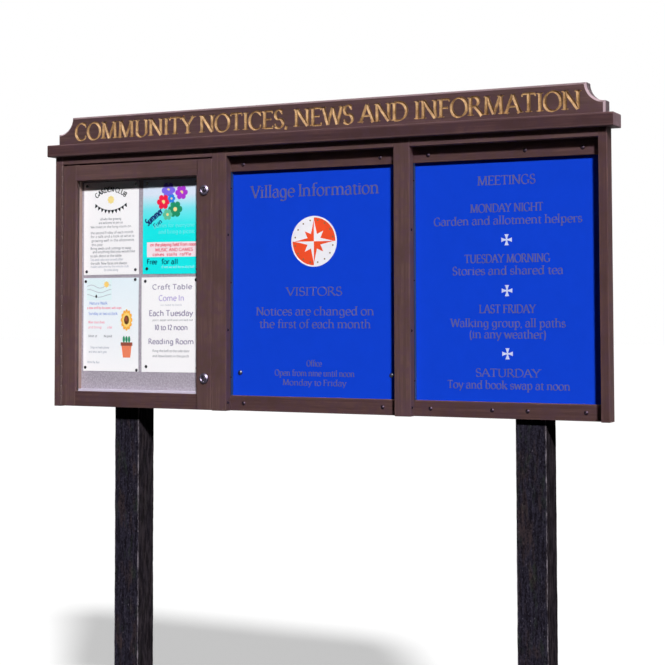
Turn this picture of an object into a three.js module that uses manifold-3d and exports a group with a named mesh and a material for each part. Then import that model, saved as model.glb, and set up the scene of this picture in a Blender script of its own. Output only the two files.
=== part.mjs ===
// Outdoor notice board on two posts: a glazed display bay with a lockable door and two sign bays,
// under a canopy rail that carries a header board with scalloped shoulders.
// Millimetres, +Z up. The front faces -Y and the ground is Z = 0.

import * as THREE from 'three';
import { mergeVertices } from 'three/addons/utils/BufferGeometryUtils.js';
import Module from 'manifold-3d';

const wasm = await Module();
wasm.setup();

// Fits shared by all pieces
const clearance = 0.3; // between pieces that pass through or turn beside one another
const overrun = 2; // how far a cutting shape runs past the piece it cuts

// Board frame
const stileWidth = 25; // end stiles, seen from the front
const mullionWidth = 50; // uprights between two bays
const railHeight = 25; // top rails, seen from the front
const boardDepth = 46;
const timberArris = 1.2; // small bevel along the edges of the frame and door timbers
const boardClearance = 1250; // from the ground to the foot of the stiles

// Sign bays
const stripRecess = 30; // from the board's front to the retaining strips
const stripThickness = 12;
const topStripHeight = 46;
const bottomStripHeight = 46;
const signThickness = 2;
const capRadius = 7.5;
const capHeight = 5;
const capInset = 26; // from a mullion to the middle of a panel cap
const capElevation = 115; // from the foot of the stiles

// Display bay
const pinboardRecess = 38; // from the board's front to the pinboard
const pinboardThickness = 5;
const bottomRailHeight = 40; // rail behind the foot of the door
const liningWidth = 50; // pale lining on the hinge side, flush with the door's stile
const liningTopHeight = 55;
const liningLedgeHeight = 17;
const lockLandingWidth = 12; // strip that the door closes on beside the locks
const lockLandingDepth = 6;
const sealWidth = 6;
const sealThickness = 2;
const sealOutset = 4; // from the lining's inner edge to the seal
const sheetWidth = 210;
const sheetHeight = 297;
const sheetThickness = 0.4;
const sheetSideMargin = 3; // from the lining to the first column of sheets
const sheetLockMargin = 57; // from the last column of sheets to the landing
const sheetColumnGap = 14;
const sheetRowGap = 10;
const sheetFootMargin = 55; // from the ledge to the lower row
const sheetHeadMargin = 4; // from the upper row to the head lining

// Door
const doorThickness = 18;
const doorStileWidth = 50;
const doorRailHeight = 49;
const doorTopGap = 5;
const doorSideGap = 1.5; // at the lock side
const doorFootGap = 1.5;
const glazingThickness = 3;
const glazingLap = 10; // how far the pane runs under the door's timbers
const glazingPlay = 0.5;
const retainerThickness = 2;

// Continuous hinge
const leafThickness = 1;
const leafDepth = 17;
const barrelRadius = 3.5;
const barrelWall = 1.6;
const knuckleCount = 24;
const knuckleGap = 0.5;

// Cam locks
const lockRadius = 14; // round head against the door's face
const lockProud = 5;
const lockBevel = 1.5;
const lockBarrelRadius = 9.5; // threaded body behind the head
const plugRadius = 6.2;
const plugProud = 0.8;
const plugBevel = 0.6;
const keySlotWidth = 1.8;
const keySlotHeight = 7.5;
const keySlotDepth = 9;
const tailRadius = 3.8;
const camScrewRadius = 6;
const camScrewHead = 3;
const camWidth = 14;
const camReach = 23;
const camThickness = 2.5;
const nutRadius = 13;
const nutThickness = 5;
const lockEndDistance = 96; // from an end of the door to a lock's axis
const keepHeight = 50;
const keepThickness = 2;

// Canopy and header
const canopyHeight = 38;
const canopyFrontOverhang = 16;
const canopyBackOverhang = 14;
const canopyEndOverhang = 24;
const canopyArris = 2;
const headerHeight = 88;
const headerThickness = 44;
const headerSetback = 18; // from the canopy's front to the header's face
const headerEndSetback = 4.5; // from the board's ends
const headerBevel = 5.5;
const scallopRadius = 53;
const scallopSteps = 14;

// Posts and the rails that hang the board on them
const postWidth = 90;
const postArris = 4;
const postInset = 240; // from a board end to a post's middle
const postHeadroom = 30; // from the canopy's underside down to a post's top
const hangingRailHeight = 40;
const hangingRailThickness = 5;
const hangingRailMargin = 40; // past the outer face of each post
const hangingRailEndDistance = 140; // from the board's foot or top to a rail's middle
const boltRadius = 5;
const washerRadius = 12;
const washerThickness = 2.5;
const boltHeadRadius = 9;
const boltHeadHeight = 6;
const roundSegments = 24;
const barrelSegments = 12;
const domeSteps = 8;

// Places worked out from the sizes. The display bay is built round its sheets, and the sign bays match it.
const sheetsAcross = 2 * sheetWidth + sheetColumnGap;
const sheetsHigh = 2 * sheetHeight + sheetRowGap;
const bayOpening = liningWidth + sheetSideMargin + sheetsAcross + sheetLockMargin + lockLandingWidth;
const ledgeTop = bottomRailHeight + liningLedgeHeight;
const liningSoffit = ledgeTop + sheetFootMargin + sheetsHigh + sheetHeadMargin;
const openingTop = liningSoffit + liningTopHeight;
const boardHeight = openingTop + railHeight; // from the foot of the stiles to the underside of the canopy
const boardWidth = 3 * bayOpening + 2 * stileWidth + 2 * mullionWidth;
const boardLeft = -boardWidth / 2;
const panelFace = stripRecess + stripThickness;
const hingeGap = 2 * leafThickness + clearance;
const hingeStandoff = barrelRadius + clearance;
const landingFace = doorThickness + clearance + sealThickness;
const barrelLength = landingFace + lockLandingDepth + keepThickness; // so that the cam turns behind the keep
const postFront = boardDepth + hangingRailThickness;
const postBack = postFront + postWidth;
const postTop = boardClearance + boardHeight - postHeadroom;
const rearmost = postBack + washerThickness + boltHeadHeight;
const canopyDepth = canopyFrontOverhang + boardDepth + canopyBackOverhang;

const bays = ['display', 'middle', 'right'];
const bayStarts = bays.map((bay, index) => boardLeft + stileWidth + index * (bayOpening + mullionWidth));

// Finishes
function finish(color, roughness, metalness) {
  return new THREE.MeshStandardMaterial({ color, roughness, metalness });
}

const brownTimber = finish(0x52403c, 0.6, 0);
const canopyTimber = finish(0x4b3734, 0.6, 0);
const blackTimber = finish(0x191620, 0.8, 0);
const blueSign = finish(0x0f3ed0, 0.35, 0);
const greyBack = finish(0x55565a, 0.7, 0);
const paleLining = finish(0xc3af96, 0.7, 0);
const pinboardFelt = finish(0xafa8b9, 0.95, 0);
const paper = finish(0xf4f3ee, 0.85, 0);
const blackRubber = finish(0x1b1b1c, 0.9, 0);
const chrome = finish(0xc9cbce, 0.15, 1);
const steel = finish(0x9a9a9c, 0.35, 1);
const aluminium = finish(0xb9b6b4, 0.4, 1);
const darkCap = finish(0x15151c, 0.2, 0);
const clearPane = finish(0xe8f2f2, 0.05, 0);
clearPane.transparent = true;
clearPane.opacity = 0.25;

// Shape helpers
function spanSize(span) {
  return new THREE.Vector3(span.x[1] - span.x[0], span.y[1] - span.y[0], span.z[1] - span.z[0]);
}

function spanMiddle(span) {
  const low = new THREE.Vector3(span.x[0], span.y[0], span.z[0]);
  const high = new THREE.Vector3(span.x[1], span.y[1], span.z[1]);
  return low.add(high).divideScalar(2);
}

function bevelledRectangle(width, height, bevel) {
  const x = width / 2;
  const y = height / 2;
  return new THREE.Shape([
    new THREE.Vector2(bevel - x, -y),
    new THREE.Vector2(x - bevel, -y),
    new THREE.Vector2(x, bevel - y),
    new THREE.Vector2(x, y - bevel),
    new THREE.Vector2(x - bevel, y),
    new THREE.Vector2(bevel - x, y),
    new THREE.Vector2(-x, y - bevel),
    new THREE.Vector2(-x, bevel - y),
  ]);
}

function extruded(shape, depth, curveSegments = roundSegments) {
  return new THREE.ExtrudeGeometry(shape, { depth, bevelEnabled: false, curveSegments });
}

// A bar centred on the origin, with bevels along its long edges; it runs along Z or along X
function barGeometry(size, along, bevel) {
  if (along === 'z') {
    return extruded(bevelledRectangle(size.x, size.y, bevel), size.z).translate(0, 0, -size.z / 2);
  }
  const turnedToX = new THREE.Matrix4().makeBasis(
    new THREE.Vector3(0, 1, 0),
    new THREE.Vector3(0, 0, 1),
    new THREE.Vector3(1, 0, 0),
  );
  return extruded(bevelledRectangle(size.y, size.z, bevel), size.x)
    .translate(0, 0, -size.x / 2)
    .applyMatrix4(turnedToX);
}

function addMesh(group, name, geometry, material) {
  const mesh = new THREE.Mesh(geometry, material);
  mesh.name = name;
  group.add(mesh);
  return mesh;
}

function addBar(group, name, span, along, bevel, material) {
  const mesh = addMesh(group, name, barGeometry(spanSize(span), along, bevel), material);
  mesh.position.copy(spanMiddle(span));
}

function addBoard(group, name, span, material) {
  const size = spanSize(span);
  const mesh = addMesh(group, name, new THREE.BoxGeometry(size.x, size.y, size.z), material);
  mesh.position.copy(spanMiddle(span));
}

function boxIn(span) {
  const size = spanSize(span);
  const middle = spanMiddle(span);
  return new THREE.BoxGeometry(size.x, size.y, size.z).translate(middle.x, middle.y, middle.z);
}

// A round bar along Y between two depths
function rodAlongY(radius, from, to, x, z, segments = roundSegments) {
  return new THREE.CylinderGeometry(radius, radius, to - from, segments).translate(x, (from + to) / 2, z);
}

// A solid for joining and cutting, from a closed geometry
function solid(geometry) {
  const bare = geometry.clone();
  bare.deleteAttribute('normal');
  bare.deleteAttribute('uv');
  const merged = mergeVertices(bare);
  return new wasm.Manifold(new wasm.Mesh({
    numProp: 3,
    vertProperties: Float32Array.from(merged.attributes.position.array),
    triVerts: Uint32Array.from(merged.index.array),
  }));
}

function geometryOf(manifold) {
  const mesh = manifold.getMesh();
  const geometry = new THREE.BufferGeometry();
  geometry.setAttribute('position', new THREE.BufferAttribute(mesh.vertProperties, 3));
  geometry.setIndex(new THREE.BufferAttribute(mesh.triVerts, 1));
  geometry.computeVertexNormals();
  return geometry;
}

function cutAway(geometry, cutters) {
  let body = solid(geometry);
  for (const cutter of cutters) {
    body = body.subtract(solid(cutter));
  }
  return geometryOf(body);
}

// A flat rectangular ring between two depths
function ringGeometry(outer, inner, depths) {
  const ring = boxIn({ x: outer.x, y: depths, z: outer.z });
  const hole = boxIn({ x: inner.x, y: [depths[0] - overrun, depths[1] + overrun], z: inner.z });
  return cutAway(ring, [hole]);
}

// Stiles, mullions and the three top rails
function addFrame(group) {
  const full = { y: [0, boardDepth], z: [0, boardHeight] };
  addBar(group, 'left_stile', { x: [boardLeft, bayStarts[0]], ...full }, 'z', timberArris, brownTimber);
  addBar(group, 'right_stile', { x: [-bayStarts[0], -boardLeft], ...full }, 'z', timberArris, brownTimber);
  ['display_mullion', 'right_mullion'].forEach((name, index) => {
    const end = bayStarts[index + 1];
    addBar(group, name, { x: [end - mullionWidth, end], ...full }, 'z', timberArris, brownTimber);
  });
  bays.forEach((bay, index) => {
    const start = bayStarts[index];
    const span = { x: [start, start + bayOpening], y: [0, boardDepth], z: [openingTop, boardHeight] };
    addBar(group, `${bay}_top_rail`, span, 'x', timberArris, brownTimber);
  });
}

// One recessed sign: back board, sign panel, and a strip across its head and its foot
function addSignBay(group, bay, start) {
  const x = [start, start + bayOpening];
  const signBack = panelFace + signThickness;
  const strip = [stripRecess, panelFace];
  addBoard(group, `${bay}_back_board`, { x, y: [signBack, boardDepth], z: [0, openingTop] }, greyBack);
  addBoard(group, `${bay}_sign_panel`, { x, y: [panelFace, signBack], z: [0, openingTop] }, blueSign);
  const top = { x, y: strip, z: [openingTop - topStripHeight, openingTop] };
  const bottom = { x, y: strip, z: [0, bottomStripHeight] };
  addBar(group, `${bay}_top_strip`, top, 'x', timberArris, brownTimber);
  addBar(group, `${bay}_bottom_strip`, bottom, 'x', timberArris, brownTimber);
}

// Round-headed caps near the lower corners of the middle sign panel
function addPanelCaps(group, start) {
  const dome = new THREE.EllipseCurve(0, 0, capRadius, capHeight, -Math.PI / 2, 0);
  const profile = [...dome.getPoints(domeSteps), new THREE.Vector2(0, 0)];
  profile[0].x = 0;
  const geometry = new THREE.LatheGeometry(profile, roundSegments);
  const places = { left_panel_cap: start + capInset, right_panel_cap: start + bayOpening - capInset };
  for (const [name, x] of Object.entries(places)) {
    addMesh(group, name, geometry, darkCap).position.set(x, panelFace, capElevation);
  }
}

// Back, pinboard, lining and notices of the display bay
function addDisplayBay(group, start) {
  const x = [start, start + bayOpening];
  const pinboardBack = pinboardRecess + pinboardThickness;
  const liningInner = start + liningWidth;
  const landingStart = x[1] - lockLandingWidth;
  const lining = [landingFace, pinboardRecess];
  const upright = [bottomRailHeight, openingTop];
  addBoard(group, 'display_back_board', { x, y: [pinboardBack, boardDepth], z: [0, openingTop] }, greyBack);
  addBoard(group, 'pinboard', { x, y: [pinboardRecess, pinboardBack], z: upright }, pinboardFelt);
  const railSpan = { x, y: [landingFace, pinboardBack], z: [0, bottomRailHeight] };
  addBar(group, 'display_bottom_rail', railSpan, 'x', timberArris, brownTimber);
  addBoard(group, 'hinge_side_lining', { x: [start, liningInner], y: lining, z: upright }, paleLining);
  const landing = { x: [landingStart, x[1]], y: [landingFace, landingFace + lockLandingDepth], z: upright };
  addBoard(group, 'lock_side_landing', landing, paleLining);
  const across = { x: [liningInner, landingStart], y: lining };
  addBoard(group, 'lining_head', { ...across, z: [liningSoffit, openingTop] }, paleLining);
  addBoard(group, 'lining_ledge', { ...across, z: [bottomRailHeight, ledgeTop] }, paleLining);

  const sealSide = (lockLandingWidth - sealWidth) / 2;
  const sealInner = {
    x: [liningInner - sealOutset, landingStart + sealSide],
    z: [ledgeTop - sealOutset, liningSoffit + sealOutset],
  };
  const sealOuter = {
    x: [sealInner.x[0] - sealWidth, sealInner.x[1] + sealWidth],
    z: [sealInner.z[0] - sealWidth, sealInner.z[1] + sealWidth],
  };
  const sealDepths = [landingFace - sealThickness, landingFace];
  addMesh(group, 'door_seal', ringGeometry(sealOuter, sealInner, sealDepths), blackRubber);

  const firstColumn = liningInner + sheetSideMargin;
  const columns = { left: firstColumn, right: firstColumn + sheetWidth + sheetColumnGap };
  const lowerRow = ledgeTop + sheetFootMargin;
  const rows = { upper: lowerRow + sheetHeight + sheetRowGap, lower: lowerRow };
  const sheetDepths = [pinboardRecess - sheetThickness, pinboardRecess];
  for (const [row, z] of Object.entries(rows)) {
    for (const [column, left] of Object.entries(columns)) {
      const span = { x: [left, left + sheetWidth], y: sheetDepths, z: [z, z + sheetHeight] };
      addBoard(group, `${row}_${column}_notice`, span, paper);
    }
  }
}

// One leaf of the continuous hinge: a strip, and every second knuckle of the barrel rolled out of it.
// The hinge axis is the local Z axis; side -1 is the leaf on the frame and side 1 the leaf on the door.
function hingeLeaf(side, first, foot, height) {
  const faces = [side * (clearance / 2), side * (clearance / 2 + leafThickness)].sort((a, b) => a - b);
  const bore = barrelRadius - barrelWall;
  const plateFront = barrelRadius + clearance;
  const pitch = height / knuckleCount;
  let body = solid(boxIn({ x: faces, y: [plateFront, plateFront + leafDepth], z: [foot, foot + height] }));
  for (let index = first; index < knuckleCount; index += 2) {
    const bottom = foot + index * pitch + knuckleGap / 2;
    const top = foot + (index + 1) * pitch - knuckleGap / 2;
    const ring = new THREE.Shape();
    ring.absarc(0, 0, barrelRadius, 0, 2 * Math.PI);
    const knuckle = extruded(ring, top - bottom, barrelSegments).translate(0, 0, bottom);
    const tab = boxIn({ x: faces, y: [0, plateFront + leafThickness], z: [bottom, top] });
    body = body.add(solid(knuckle)).add(solid(tab));
  }
  const boreRing = new THREE.Shape();
  boreRing.absarc(0, 0, bore, 0, 2 * Math.PI);
  const boreRod = extruded(boreRing, height + 2 * overrun, barrelSegments).translate(0, 0, foot - overrun);
  return geometryOf(body.subtract(solid(boreRod)));
}

// Lock parts share one axis, the local Y axis, with Y = 0 on the door's face
function lockBodyGeometry() {
  const bore = plugRadius + clearance;
  return new THREE.LatheGeometry([
    new THREE.Vector2(bore, -lockProud),
    new THREE.Vector2(lockRadius - lockBevel, -lockProud),
    new THREE.Vector2(lockRadius, lockBevel - lockProud),
    new THREE.Vector2(lockRadius, 0),
    new THREE.Vector2(lockBarrelRadius, 0),
    new THREE.Vector2(lockBarrelRadius, barrelLength),
    new THREE.Vector2(bore, barrelLength),
    new THREE.Vector2(bore, -lockProud),
  ], roundSegments);
}

function lockPlugGeometry() {
  const front = -lockProud - plugProud;
  const shoulder = barrelLength + clearance;
  const camBack = shoulder + camThickness;
  const plug = new THREE.LatheGeometry([
    new THREE.Vector2(0, front),
    new THREE.Vector2(plugRadius - plugBevel, front),
    new THREE.Vector2(plugRadius, front + plugBevel),
    new THREE.Vector2(plugRadius, shoulder),
    new THREE.Vector2(tailRadius, shoulder),
    new THREE.Vector2(tailRadius, camBack),
    new THREE.Vector2(camScrewRadius, camBack),
    new THREE.Vector2(camScrewRadius, camBack + camScrewHead),
    new THREE.Vector2(0, camBack + camScrewHead),
  ], roundSegments);
  const slot = boxIn({
    x: [-keySlotWidth / 2, keySlotWidth / 2],
    y: [front - overrun, front + keySlotDepth],
    z: [-keySlotHeight / 2, keySlotHeight / 2],
  });
  return cutAway(plug, [slot]);
}

// A flat shape in XZ given a thickness along Y, from a depth backwards
function plateAlongY(shape, from, thickness, segments) {
  return extruded(shape, thickness, segments).rotateX(Math.PI / 2).translate(0, from + thickness, 0);
}

function roundHole(radius) {
  const hole = new THREE.Path();
  hole.absarc(0, 0, radius, 0, 2 * Math.PI);
  return hole;
}

// At rest the cam hangs down, clear of its keep
function camGeometry() {
  const shape = new THREE.Shape();
  shape.absarc(0, 0, camWidth / 2, 0, Math.PI);
  shape.lineTo(-camWidth / 2, -camReach);
  shape.lineTo(camWidth / 2, -camReach);
  shape.holes.push(roundHole(tailRadius + clearance));
  return plateAlongY(shape, barrelLength + clearance, camThickness, barrelSegments);
}

function lockNutGeometry() {
  const corners = [0, 1, 2, 3, 4, 5].map((corner) => {
    const angle = (corner * Math.PI) / 3;
    return new THREE.Vector2(nutRadius * Math.cos(angle), nutRadius * Math.sin(angle));
  });
  const shape = new THREE.Shape(corners);
  shape.holes.push(roundHole(lockBarrelRadius + clearance));
  return plateAlongY(shape, doorThickness, nutThickness, roundSegments);
}

// The door, about its hinge axis: X from the axis towards the locks, Y from the axis backwards
function addDoor(group) {
  const left = hingeGap / 2;
  const right = bayOpening - hingeGap / 2 - doorSideGap;
  const foot = doorFootGap;
  const head = openingTop - doorTopGap;
  const depths = [hingeStandoff, hingeStandoff + doorThickness];
  const pane = {
    x: [left + doorStileWidth - glazingLap, right - doorStileWidth + glazingLap],
    z: [foot + doorRailHeight - glazingLap, head - doorRailHeight + glazingLap],
  };
  const window = {
    x: [left + doorStileWidth, right - doorStileWidth],
    z: [foot + doorRailHeight, head - doorRailHeight],
  };
  const paneFront = depths[1] - retainerThickness - glazingThickness;
  const rebate = boxIn({
    x: [pane.x[0] - glazingPlay, pane.x[1] + glazingPlay],
    y: [paneFront, depths[1] + overrun],
    z: [pane.z[0] - glazingPlay, pane.z[1] + glazingPlay],
  });
  const lockX = right - doorStileWidth / 2;
  const locks = { upper: head - lockEndDistance, lower: foot + lockEndDistance };
  const lockHoles = Object.values(locks).map((z) => rodAlongY(
    lockBarrelRadius + clearance, depths[0] - overrun, depths[1] + overrun, lockX, z,
  ));

  function addDoorTimber(name, span, along, cutters) {
    const middle = spanMiddle(span);
    const timber = barGeometry(spanSize(span), along, timberArris).translate(middle.x, middle.y, middle.z);
    addMesh(group, name, cutAway(timber, cutters), brownTimber);
  }

  const upright = { y: depths, z: [foot, head] };
  addDoorTimber('door_hinge_stile', { x: [left, window.x[0]], ...upright }, 'z', [rebate]);
  addDoorTimber('door_lock_stile', { x: [window.x[1], right], ...upright }, 'z', [rebate, ...lockHoles]);
  addDoorTimber('door_top_rail', { x: window.x, y: depths, z: [window.z[1], head] }, 'x', [rebate]);
  addDoorTimber('door_bottom_rail', { x: window.x, y: depths, z: [foot, window.z[0]] }, 'x', [rebate]);

  const paneBack = paneFront + glazingThickness;
  addBoard(group, 'door_glazing', { ...pane, y: [paneFront, paneBack] }, clearPane);
  addMesh(group, 'glazing_retainer', ringGeometry(pane, window, [paneBack, depths[1]]), aluminium);
  addMesh(group, 'hinge_door_leaf', hingeLeaf(1, 1, foot, head - foot), aluminium);

  for (const [place, z] of Object.entries(locks)) {
    const lock = new THREE.Group();
    lock.position.set(lockX, depths[0], z);
    addMesh(lock, `${place}_lock_body`, lockBodyGeometry(), chrome);
    addMesh(lock, `${place}_lock_plug`, lockPlugGeometry(), chrome);
    addMesh(lock, `${place}_lock_nut`, lockNutGeometry(), steel);
    addMesh(lock, `${place}_lock_cam`, camGeometry(), steel);
    group.add(lock);
  }
}

// What stays on the frame beside the door: the other hinge leaf, the pin, and the keeps behind the landing
function addDoorFittings(group, start) {
  const foot = doorFootGap;
  const head = openingTop - doorTopGap;
  const axis = new THREE.Vector3(start + hingeGap / 2, -hingeStandoff, 0);
  addMesh(group, 'hinge_frame_leaf', hingeLeaf(-1, 0, foot, head - foot), aluminium).position.copy(axis);
  const pinRadius = barrelRadius - barrelWall - clearance;
  const pin = new THREE.CylinderGeometry(pinRadius, pinRadius, head - foot, barrelSegments);
  pin.rotateX(Math.PI / 2);
  addMesh(group, 'hinge_pin', pin, steel).position.set(axis.x, axis.y, (foot + head) / 2);

  const keepFront = landingFace + lockLandingDepth;
  const end = start + bayOpening;
  const heights = { upper: head - lockEndDistance, lower: foot + lockEndDistance };
  for (const [place, z] of Object.entries(heights)) {
    const span = {
      x: [end - lockLandingWidth, end],
      y: [keepFront, keepFront + keepThickness],
      z: [z - keepHeight / 2, z + keepHeight / 2],
    };
    addBoard(group, `${place}_keep`, span, steel);
  }
}

// Header outline moved inwards by an inset, from the lower left corner and counter-clockwise
function headerOutline(inset) {
  const halfWidth = boardWidth / 2 - headerEndSetback;
  const radius = scallopRadius + inset;
  const tilt = Math.asin(inset / radius);
  const right = [new THREE.Vector2(halfWidth - inset, 0)];
  for (let step = 0; step <= scallopSteps; step += 1) {
    const angle = -Math.PI / 2 - tilt - (step / scallopSteps) * (Math.PI / 2 - 2 * tilt);
    const x = halfWidth + radius * Math.cos(angle);
    right.push(new THREE.Vector2(x, headerHeight + radius * Math.sin(angle)));
  }
  const left = right.map((point) => new THREE.Vector2(-point.x, point.y)).reverse();
  return [...right, ...left];
}

// A closed skin through outlines in XZ, one at each depth, from the front backwards
function loftAlongY(outlines, depths) {
  const count = outlines[0].length;
  const positions = [];
  outlines.forEach((outline, layer) => {
    outline.forEach((point) => positions.push(point.x, depths[layer], point.y));
  });
  const last = (outlines.length - 1) * count;
  const index = [];
  for (const [a, b, c] of THREE.ShapeUtils.triangulateShape(outlines[0], [])) {
    index.push(a, b, c);
    index.push(last + a, last + c, last + b);
  }
  for (let layer = 0; layer < outlines.length - 1; layer += 1) {
    for (let corner = 0; corner < count; corner += 1) {
      const next = (corner + 1) % count;
      const front = layer * count;
      const back = front + count;
      index.push(front + corner, back + corner, back + next);
      index.push(front + corner, back + next, front + next);
    }
  }
  const geometry = new THREE.BufferGeometry();
  geometry.setAttribute('position', new THREE.Float32BufferAttribute(positions, 3));
  geometry.setIndex(index);
  geometry.computeVertexNormals();
  return geometry;
}

function addCanopyAndHeader(group) {
  const end = boardWidth / 2 + canopyEndOverhang;
  const front = -canopyFrontOverhang;
  const canopyTop = boardHeight + canopyHeight;
  const span = { x: [-end, end], y: [front, front + canopyDepth], z: [boardHeight, canopyTop] };
  addBar(group, 'canopy_rail', span, 'x', canopyArris, canopyTimber);
  const outlines = [headerOutline(headerBevel), headerOutline(0), headerOutline(0)];
  const header = loftAlongY(outlines, [0, headerBevel, headerThickness]);
  addMesh(group, 'header_board', header, canopyTimber).position.set(0, front + headerSetback, canopyTop);
}

// Posts, hanging rails and the bolts through both
function addPosts(group) {
  const postX = boardWidth / 2 - postInset;
  const lowRail = boardClearance + hangingRailEndDistance;
  const highRail = boardClearance + boardHeight - hangingRailEndDistance;
  const rails = { upper: highRail, lower: lowRail };
  const sides = { left: -postX, right: postX };
  const holeRadius = boltRadius + clearance;

  for (const [side, x] of Object.entries(sides)) {
    const span = { x: [x - postWidth / 2, x + postWidth / 2], y: [postFront, postBack], z: [0, postTop] };
    const middle = spanMiddle(span);
    const post = barGeometry(spanSize(span), 'z', postArris).translate(middle.x, middle.y, middle.z);
    const holes = Object.values(rails).map((z) => (
      rodAlongY(holeRadius, postFront - overrun, postBack + overrun, x, z)
    ));
    addMesh(group, `${side}_post`, cutAway(post, holes), blackTimber);
  }

  const railEnd = postX + postWidth / 2 + hangingRailMargin;
  for (const [level, z] of Object.entries(rails)) {
    const span = {
      x: [-railEnd, railEnd],
      y: [boardDepth, postFront],
      z: [z - hangingRailHeight / 2, z + hangingRailHeight / 2],
    };
    const holes = Object.values(sides).map((x) => (
      rodAlongY(holeRadius, boardDepth - overrun, postFront + overrun, x, z)
    ));
    addMesh(group, `${level}_hanging_rail`, cutAway(boxIn(span), holes), aluminium);
    for (const [side, x] of Object.entries(sides)) {
      addMesh(group, `${side}_${level}_post_bolt`, boltGeometry(), steel).position.set(x, postBack, z);
    }
  }
}

// A bolt from behind the post into the hanging rail, with Y = 0 on the post's back
function boltGeometry() {
  const tip = boardDepth + clearance - postBack;
  return new THREE.LatheGeometry([
    new THREE.Vector2(0, tip),
    new THREE.Vector2(boltRadius, tip),
    new THREE.Vector2(boltRadius, 0),
    new THREE.Vector2(washerRadius, 0),
    new THREE.Vector2(washerRadius, washerThickness),
    new THREE.Vector2(boltHeadRadius, washerThickness),
    new THREE.Vector2(boltHeadRadius, washerThickness + boltHeadHeight),
    new THREE.Vector2(0, washerThickness + boltHeadHeight),
  ], roundSegments);
}

// The whole object, with its origin on the ground under the middle of its outer box
const noticeBoard = new THREE.Group();
noticeBoard.position.y = -(rearmost - canopyFrontOverhang) / 2;

const board = new THREE.Group();
board.position.z = boardClearance;
noticeBoard.add(board);
addFrame(board);
addDisplayBay(board, bayStarts[0]);
addSignBay(board, bays[1], bayStarts[1]);
addSignBay(board, bays[2], bayStarts[2]);
addPanelCaps(board, bayStarts[1]);
addDoorFittings(board, bayStarts[0]);
addCanopyAndHeader(board);

const door = new THREE.Group();
door.position.set(bayStarts[0] + hingeGap / 2, -hingeStandoff, 0);
board.add(door);
addDoor(door);
addPosts(noticeBoard);

export default noticeBoard;
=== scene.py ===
import math
import bmesh
import bpy
import numpy as np
from mathutils import Matrix, Vector


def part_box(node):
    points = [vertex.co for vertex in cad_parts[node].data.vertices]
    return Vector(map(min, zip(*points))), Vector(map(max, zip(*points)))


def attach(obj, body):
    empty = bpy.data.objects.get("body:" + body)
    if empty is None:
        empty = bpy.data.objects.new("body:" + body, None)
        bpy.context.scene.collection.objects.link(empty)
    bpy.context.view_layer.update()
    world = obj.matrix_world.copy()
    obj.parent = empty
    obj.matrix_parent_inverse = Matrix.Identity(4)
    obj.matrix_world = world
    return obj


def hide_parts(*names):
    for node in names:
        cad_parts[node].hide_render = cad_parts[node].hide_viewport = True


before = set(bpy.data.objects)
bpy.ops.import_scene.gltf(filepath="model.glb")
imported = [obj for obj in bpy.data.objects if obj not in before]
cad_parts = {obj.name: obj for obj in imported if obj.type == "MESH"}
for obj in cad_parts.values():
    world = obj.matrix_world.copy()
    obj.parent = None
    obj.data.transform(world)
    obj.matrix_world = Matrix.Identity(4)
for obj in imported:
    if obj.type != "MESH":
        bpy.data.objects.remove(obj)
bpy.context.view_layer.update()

mm = 0.001
scene = bpy.context.scene
scene.view_settings.view_transform = "Standard"
print("frame loaded:", len(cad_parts), "nodes")

# Camera: a standing reader in front of the right-hand bay. Turns are in degrees: yaw to the left of
# straight ahead, tilt from looking straight down.
cameraView = {
    "place": (2.0139, -4.0505, 1.5543), "yaw": 25.87, "tilt": 92.85, "roll": -0.14,
    "focalPixels": 1507.6, "framePixels": 665, "lensAxisRow": 235.1, "sensor": 36,
}


def makeCamera(view):
    data = bpy.data.cameras.new("readerCamera")
    data.sensor_width = view["sensor"]
    data.lens = view["sensor"] * view["focalPixels"] / view["framePixels"]
    data.shift_y = (view["lensAxisRow"] - view["framePixels"] / 2) / view["framePixels"]
    camera = bpy.data.objects.new("readerCamera", data)
    place = Matrix.Translation(view["place"])
    for name, axis in (("yaw", "Z"), ("tilt", "X"), ("roll", "Z")):
        place = place @ Matrix.Rotation(math.radians(view[name]), 4, axis)
    camera.matrix_world = place
    scene.collection.objects.link(camera)
    scene.camera = camera


makeCamera(cameraView)


# Shader maths: a Wire is a value in a node tree, so that sums can be written as sums
class Wire:
    def __init__(self, recipe, socket):
        self.recipe, self.socket = recipe, socket

    def sum(self, operation, first, second):
        return self.recipe.wire("ShaderNodeMath", {"operation": operation}, {0: first, 1: second})

    def __add__(self, other):
        return self.sum("ADD", self, other)

    def __sub__(self, other):
        return self.sum("SUBTRACT", self, other)

    def __rsub__(self, other):
        return self.sum("SUBTRACT", other, self)

    def __mul__(self, other):
        return self.sum("MULTIPLY", self, other)

    def __pow__(self, other):
        return self.sum("POWER", self, other)

    def __abs__(self):
        return self.sum("ABSOLUTE", self, 0.0)

    __radd__ = __add__
    __rmul__ = __mul__


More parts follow.
